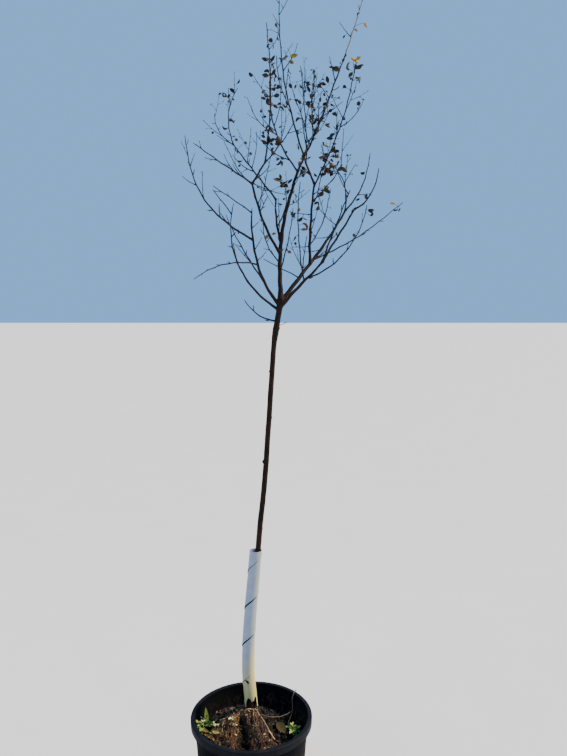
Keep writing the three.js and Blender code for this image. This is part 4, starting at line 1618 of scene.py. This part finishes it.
for name, low, high, count, tints in sprays:
    limb = limbs[name]
    near = []
    for at, spot, way in perches[name]:
        if low <= at <= high and np.linalg.norm(spot - limb.point(at)) < spray_reach:
            near.append((spot, way))
    for i in range(count):
        if near and chance.random() < perch_share:
            spot, way = near[chance.randrange(len(near))]
        else:
            at = chance.uniform(low, high)
            turn = chance.uniform(0, 2 * math.pi)
            way = leaning_out(limb.heading(at), turn, chance.uniform(0.8, 1.5))
            spot = limb.point(at) + way * float(limb.radius(at))
        hang_leaf(spot, way, chance.uniform(*spray_leaf), chance.choice(tints))

# Small shrivelled leaves are spread thinly over these shoots: name and how many to the metre
thin_spread = {
    "shoot_left_tall": 30,
    "shoot_centre_left": 30,
    "shoot_back_inner": 30,
    "shoot_left_fork": 26,
    "limb_back_left": 14,
    "shoot_back_left": 26,
    "shoot_back_left_out": 16,
    "leader": 34,
    "leader_low": 26,
    "shoot_top_back": 30,
    "shoot_top_right": 30,
    "shoot_centre_right": 40,
    "shoot_right_tall": 50,
    "shoot_right_side": 36,
    "shoot_right_up": 40,
    "shoot_right_out": 26,
    "shoot_right_mid": 16,
    "bough_centre": 14,
}
leaf_ceiling = 2.30
small_leaf = (0.009, 0.018)
for name, to_the_metre in thin_spread.items():
    spots = perches[name]
    for i in range(round(to_the_metre * limbs[name].length)):
        _, spot, way = spots[chance.randrange(len(spots))]
        if spot[2] < leaf_ceiling:
            length = chance.uniform(*small_leaf)
            hang_leaf(spot, way, length, chance.choice((DARK, DARK, DARK, OLIVE, RUSSET)))

# Leaves that stand out in the photograph, open and seen flat: limb, fraction of it, how far right
# and up the leaf's foot is from there, the way to its tip, its length and width, and its tint
open_leaves = [
    ("shoot_back_left", 0.98, (-20, 5), (0.8, -0.6), 21, 12, DARK),
    ("shoot_back_left", 0.86, (-18, 0), (-1.0, 0.1), 10, 7, DARK),
    ("shoot_back_left", 0.93, (-14, -4), (-0.6, -0.8), 13, 8, DARK),
    ("shoot_left_tall", 0.74, (-4, 0), (-1.0, 0.4), 20, 11, OLIVE),
    ("shoot_left_tall", 0.73, (3, 0), (0.7, 0.7), 20, 10, DARK),
    ("shoot_left_tall", 0.72, (4, -3), (1.0, -0.3), 15, 9, RUSSET),
    ("shoot_left_tall", 0.63, (-4, 0), (-1.0, 0.1), 19, 12, RUSSET),
    ("shoot_left_tall", 0.63, (3, 2), (0.8, 0.7), 21, 10, DARK),
    ("shoot_left_tall", 0.46, (-12, 0), (-1.0, 0.2), 15, 9, DARK),
    ("shoot_left_tall", 0.48, (8, 0), (1.0, 0.3), 19, 11, DARK),
    ("shoot_left_tall", 0.42, (6, 0), (0.8, -0.6), 16, 10, DARK),
    ("shoot_left_tall", 0.15, (4, 0), (1.0, 0.1), 22, 13, DARK),
    ("shoot_left_tall", 0.18, (-6, 0), (-0.9, 0.5), 13, 8, DARK),
    ("shoot_centre_left", 0.12, (-16, 0), (-0.9, 0.4), 13, 8, DARK),
    ("shoot_back_inner", 1.00, (-3, 12), (-1.0, -0.1), 32, 17, RUSSET),
    ("shoot_back_inner", 1.00, (-12, 8), (0.7, -0.8), 24, 13, DARK),
    ("shoot_back_inner", 0.98, (0, 4), (0.8, -0.5), 17, 11, DARK),
    ("shoot_back_inner", 1.00, (-8, 16), (-0.4, 1.0), 15, 9, RUSSET),
    ("leader", 0.53, (12, 3), (0.5, -0.9), 19, 11, RUSSET),
    ("leader", 0.45, (17, 0), (1.0, -0.4), 16, 10, DARK),
    ("leader", 0.08, (-6, -4), (-0.8, -0.5), 17, 10, DARK),
    ("leader", 0.66, (5, 2), (1.0, -0.25), 20, 15, TAN),
    ("leader", 0.66, (24, 6), (1.0, 0.12), 24, 13, GOLDEN),
    ("leader", 0.66, (19, -7), (1.0, -0.2), 17, 12, TAN),
    ("shoot_top_back", 0.62, (-8, 0), (-0.8, 0.5), 17, 10, DARK),
    ("shoot_top_back", 0.64, (4, -2), (1.0, -0.5), 19, 11, DARK),
    ("shoot_top_right", 0.67, (-6, -2), (-0.2, 1.0), 21, 11, DARK),
    ("shoot_top_right", 0.73, (16, 0), (0.5, 0.9), 17, 10, DARK),
    ("shoot_top_right", 0.73, (23, 15), (0.9, -0.4), 20, 11, DARK),
    ("shoot_top_right", 0.43, (-3, 0), (-0.9, -0.3), 16, 10, DARK),
    ("shoot_centre_right", 0.50, (-17, 0), (-0.3, 1.0), 21, 11, DARK),
    ("shoot_centre_right", 0.58, (-14, 4), (-1.0, 0.1), 18, 8, RUSSET),
    ("shoot_centre_right", 0.60, (-6, -4), (-0.8, -0.3), 22, 13, OLIVE),
    ("shoot_centre_right", 0.30, (-2, -2), (-1.0, -0.3), 19, 12, DARK),
    ("shoot_centre_right", 0.34, (12, 0), (1.0, 0.5), 15, 9, DARK),
    ("shoot_centre_right", 0.29, (13, -12), (0.9, -0.4), 19, 11, DARK),
    ("shoot_centre_right", 0.80, (2, 0), (0.6, -0.2), 13, 10, BRIGHT),
    ("shoot_centre_right", 0.82, (27, 8), (0.5, -0.9), 17, 12, BRIGHT),
    ("shoot_right_tall", 0.42, (-8, 8), (-0.6, -0.8), 19, 11, DARK),
    ("shoot_right_tall", 0.40, (-6, 0), (-1.0, 0.0), 20, 11, DARK),
    ("shoot_right_tall", 0.33, (-8, 0), (-1.0, -0.1), 23, 12, RUSSET),
    ("shoot_right_tall", 0.25, (-3, 0), (-1.0, -0.3), 23, 13, RUSSET),
    ("shoot_right_tall", 0.10, (0, 0), (1.0, 0.0), 21, 10, DARK),
    ("shoot_right_tall", 0.98, (-16, 8), (0.9, -0.5), 26, 11, YELLOW),
    ("shoot_right_tall", 0.99, (-2, 0), (1.0, 0.2), 15, 9, YELLOW),
    ("shoot_right_tall", 0.90, (-4, 0), (-0.7, -0.7), 18, 11, OLIVE),
    ("shoot_right_up", 0.75, (0, 0), (1.0, 0.1), 25, 13, OLIVE),
    ("shoot_right_up", 0.95, (-2, 0), (-1.0, 0.2), 18, 11, RUSSET),
    ("shoot_right_side", 0.94, (2, 0), (0.8, -0.5), 21, 12, OLIVE),
    ("shoot_right_side", 0.30, (3, 0), (1.0, 0.2), 16, 9, DARK),
    ("shoot_right_out", 0.25, (0, -10), (0.8, 0.3), 16, 7, DARK),
    ("limb_right_below", 0.95, (12, -10), (0.8, 0.5), 12, 7, DARK),
    ("limb_right_far", 0.95, (-6, 8), (-1.0, 0.1), 19, 9, YELLOW),
    ("shoot_front_right", 0.55, (5, 0), (1.0, 0.0), 20, 9, TAN),
    ("bough_left", 0.30, (-3, 0), (-0.6, -0.8), 16, 10, TAN),
    ("bough_left", 0.31, (8, 0), (1.0, 0.2), 14, 8, TAN),
    ("shoot_front_centre", 0.35, (5, 0), (0.8, -0.6), 17, 11, TAN),
    ("leader_low", 0.74, (5, 0), (0.8, 0.4), 16, 9, DARK),
]
open_leaf_front = -4
open_leaf_arch = 0.0015
open_leaf_stalk = [0.0006, 0.0005, 0.0004]
for name, fraction, (right, up), (along, rise), length, width, slot in open_leaves:
    foot = limbs[name].point(fraction)
    end = foot + np.array([right, open_leaf_front, up]) * MM
    add_stalk(leaf_stalks, foot, end, open_leaf_arch, open_leaf_stalk, DARK)
    way = (along, chance.uniform(-0.4, 0.2), rise)
    curl = chance.uniform(-0.3, 0.9)
    facing = (chance.gauss(0, 0.25), -1, chance.gauss(0.2, 0.3))
    fold = chance.uniform(0.15, 0.5)
    add_leaf(crown_leaves, end, way, length * MM, width * MM, curl, fold, slot, facing)
leaf_piece = crown_leaves.piece("dead_leaves", *leaf_finishes)
leaf_thickness = 0.0004
add_modifier(leaf_piece, "SOLIDIFY", thickness=leaf_thickness, offset=0)
masses = (
    "left_top", "left_middle", "back_left", "leader", "top_right",
    "right_top", "right_middle", "right_side", "back_inner",
)
belongs(leaf_piece, "dry_leaves", *("leaves_" + name for name in masses))
belongs(leaf_stalks.piece("leaf_stalks", *leaf_finishes), "dry_leaves")

# Dried fruit
# A few small dark round fruits hang on thin stalks of their own at the left of the crown, and one
# at the right.
fruit = Gathered()

# Fruits: limb, fraction of it, and how far the fruit stands from there in millimetres
fruits = [
    ("shoot_back_left", 0.03, (12, -6, 7)),
    ("limb_back_left", 0.90, (26, -14, 17)),
    ("limb_back_left", 0.74, (21, -12, 12)),
    ("limb_right_below", 0.76, (-14, -8, -12)),
]
fruit_radius = 0.0048
fruit_rings = 7
fruit_stalk = [0.0006, 0.0005, 0.0005]
for name, at, reach in fruits:
    foot = limbs[name].point(at)
    middle = foot + np.array(reach) * MM
    drop = unit(np.array([reach[0], reach[1], -9.0]))
    knee = (foot + middle) / 2 + np.array([0, 0, 0.004])
    end = middle - drop * fruit_radius * 0.8
    fruit.add(*round_bar([foot, knee, end], fruit_stalk, 4))
    turns = np.linspace(0.15, 0.97, fruit_rings) * math.pi
    ends = [middle - drop * fruit_radius * math.cos(turn) for turn in turns]
    fruit.add(*round_bar(ends, fruit_radius * np.sin(turns), 10))
fruit_skin, shader, place = new_finish("fruit_skin")
wrinkles = place.noise(420, 3, 0.6)
base = wrinkles.between(0.4, 0.6).mix((0.006, 0.0034, 0.0028), (0.024, 0.0105, 0.0075))
coat(shader, base, 0.4 + wrinkles * 0.3, wrinkles.bump(0.0006, 0.8))
belongs(fruit.piece("dried_fruit", fruit_skin), "dry_leaves")

# Floor and light
# A plain pale floor under a pale blue sky, with a soft warm sun high on the right and a broad cool
# lamp on the left.
floor_size = 400
bpy.ops.mesh.primitive_plane_add(size=floor_size, location=(0, 0, 0))
floor = bpy.context.object
floor.name = "floor"
floor_pale, shader, place = new_finish("floor_pale")
floor_colour = place.noise(3, 2, 0.5).mix((0.60, 0.595, 0.585), (0.64, 0.635, 0.625))
place.feed(shader, "Base Color", floor_colour)
shader.inputs["Roughness"].default_value = 0.9
take_finish(floor, floor_pale)
floor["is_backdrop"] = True

world = bpy.data.worlds.new("studio")
bpy.context.scene.world = world
world.use_nodes = True
sky = world.node_tree.nodes["Background"].inputs
sky["Color"].default_value = (0.24, 0.53, 1.0, 1)
sky["Strength"].default_value = 0.95


def add_lamp(kind, name, place, target, energy, colour):
    """A lamp of a kind that faces a target."""
    bpy.ops.object.light_add(type=kind, location=place)
    lamp = bpy.context.object
    lamp.name = name
    lamp.data.energy = energy
    lamp.data.color = colour
    lamp.rotation_euler = (Vector(target) - Vector(place)).to_track_quat("-Z", "Y").to_euler()
    return lamp.data


sun_place, sun_target = (3.4, 0.5, 4.4), (0.05, 0, 1.1)
sun = add_lamp("SUN", "warm_sun", sun_place, sun_target, energy=9.4, colour=(1.0, 0.85, 0.66))
sun.angle = math.radians(15)
fill_place, fill_target = (-2.8, -2.4, 2.2), (0, 0, 1.0)
fill = add_lamp("AREA", "cool_fill", fill_place, fill_target, energy=40, colour=(0.70, 0.84, 1.0))
fill.size = 2.2

low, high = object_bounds()
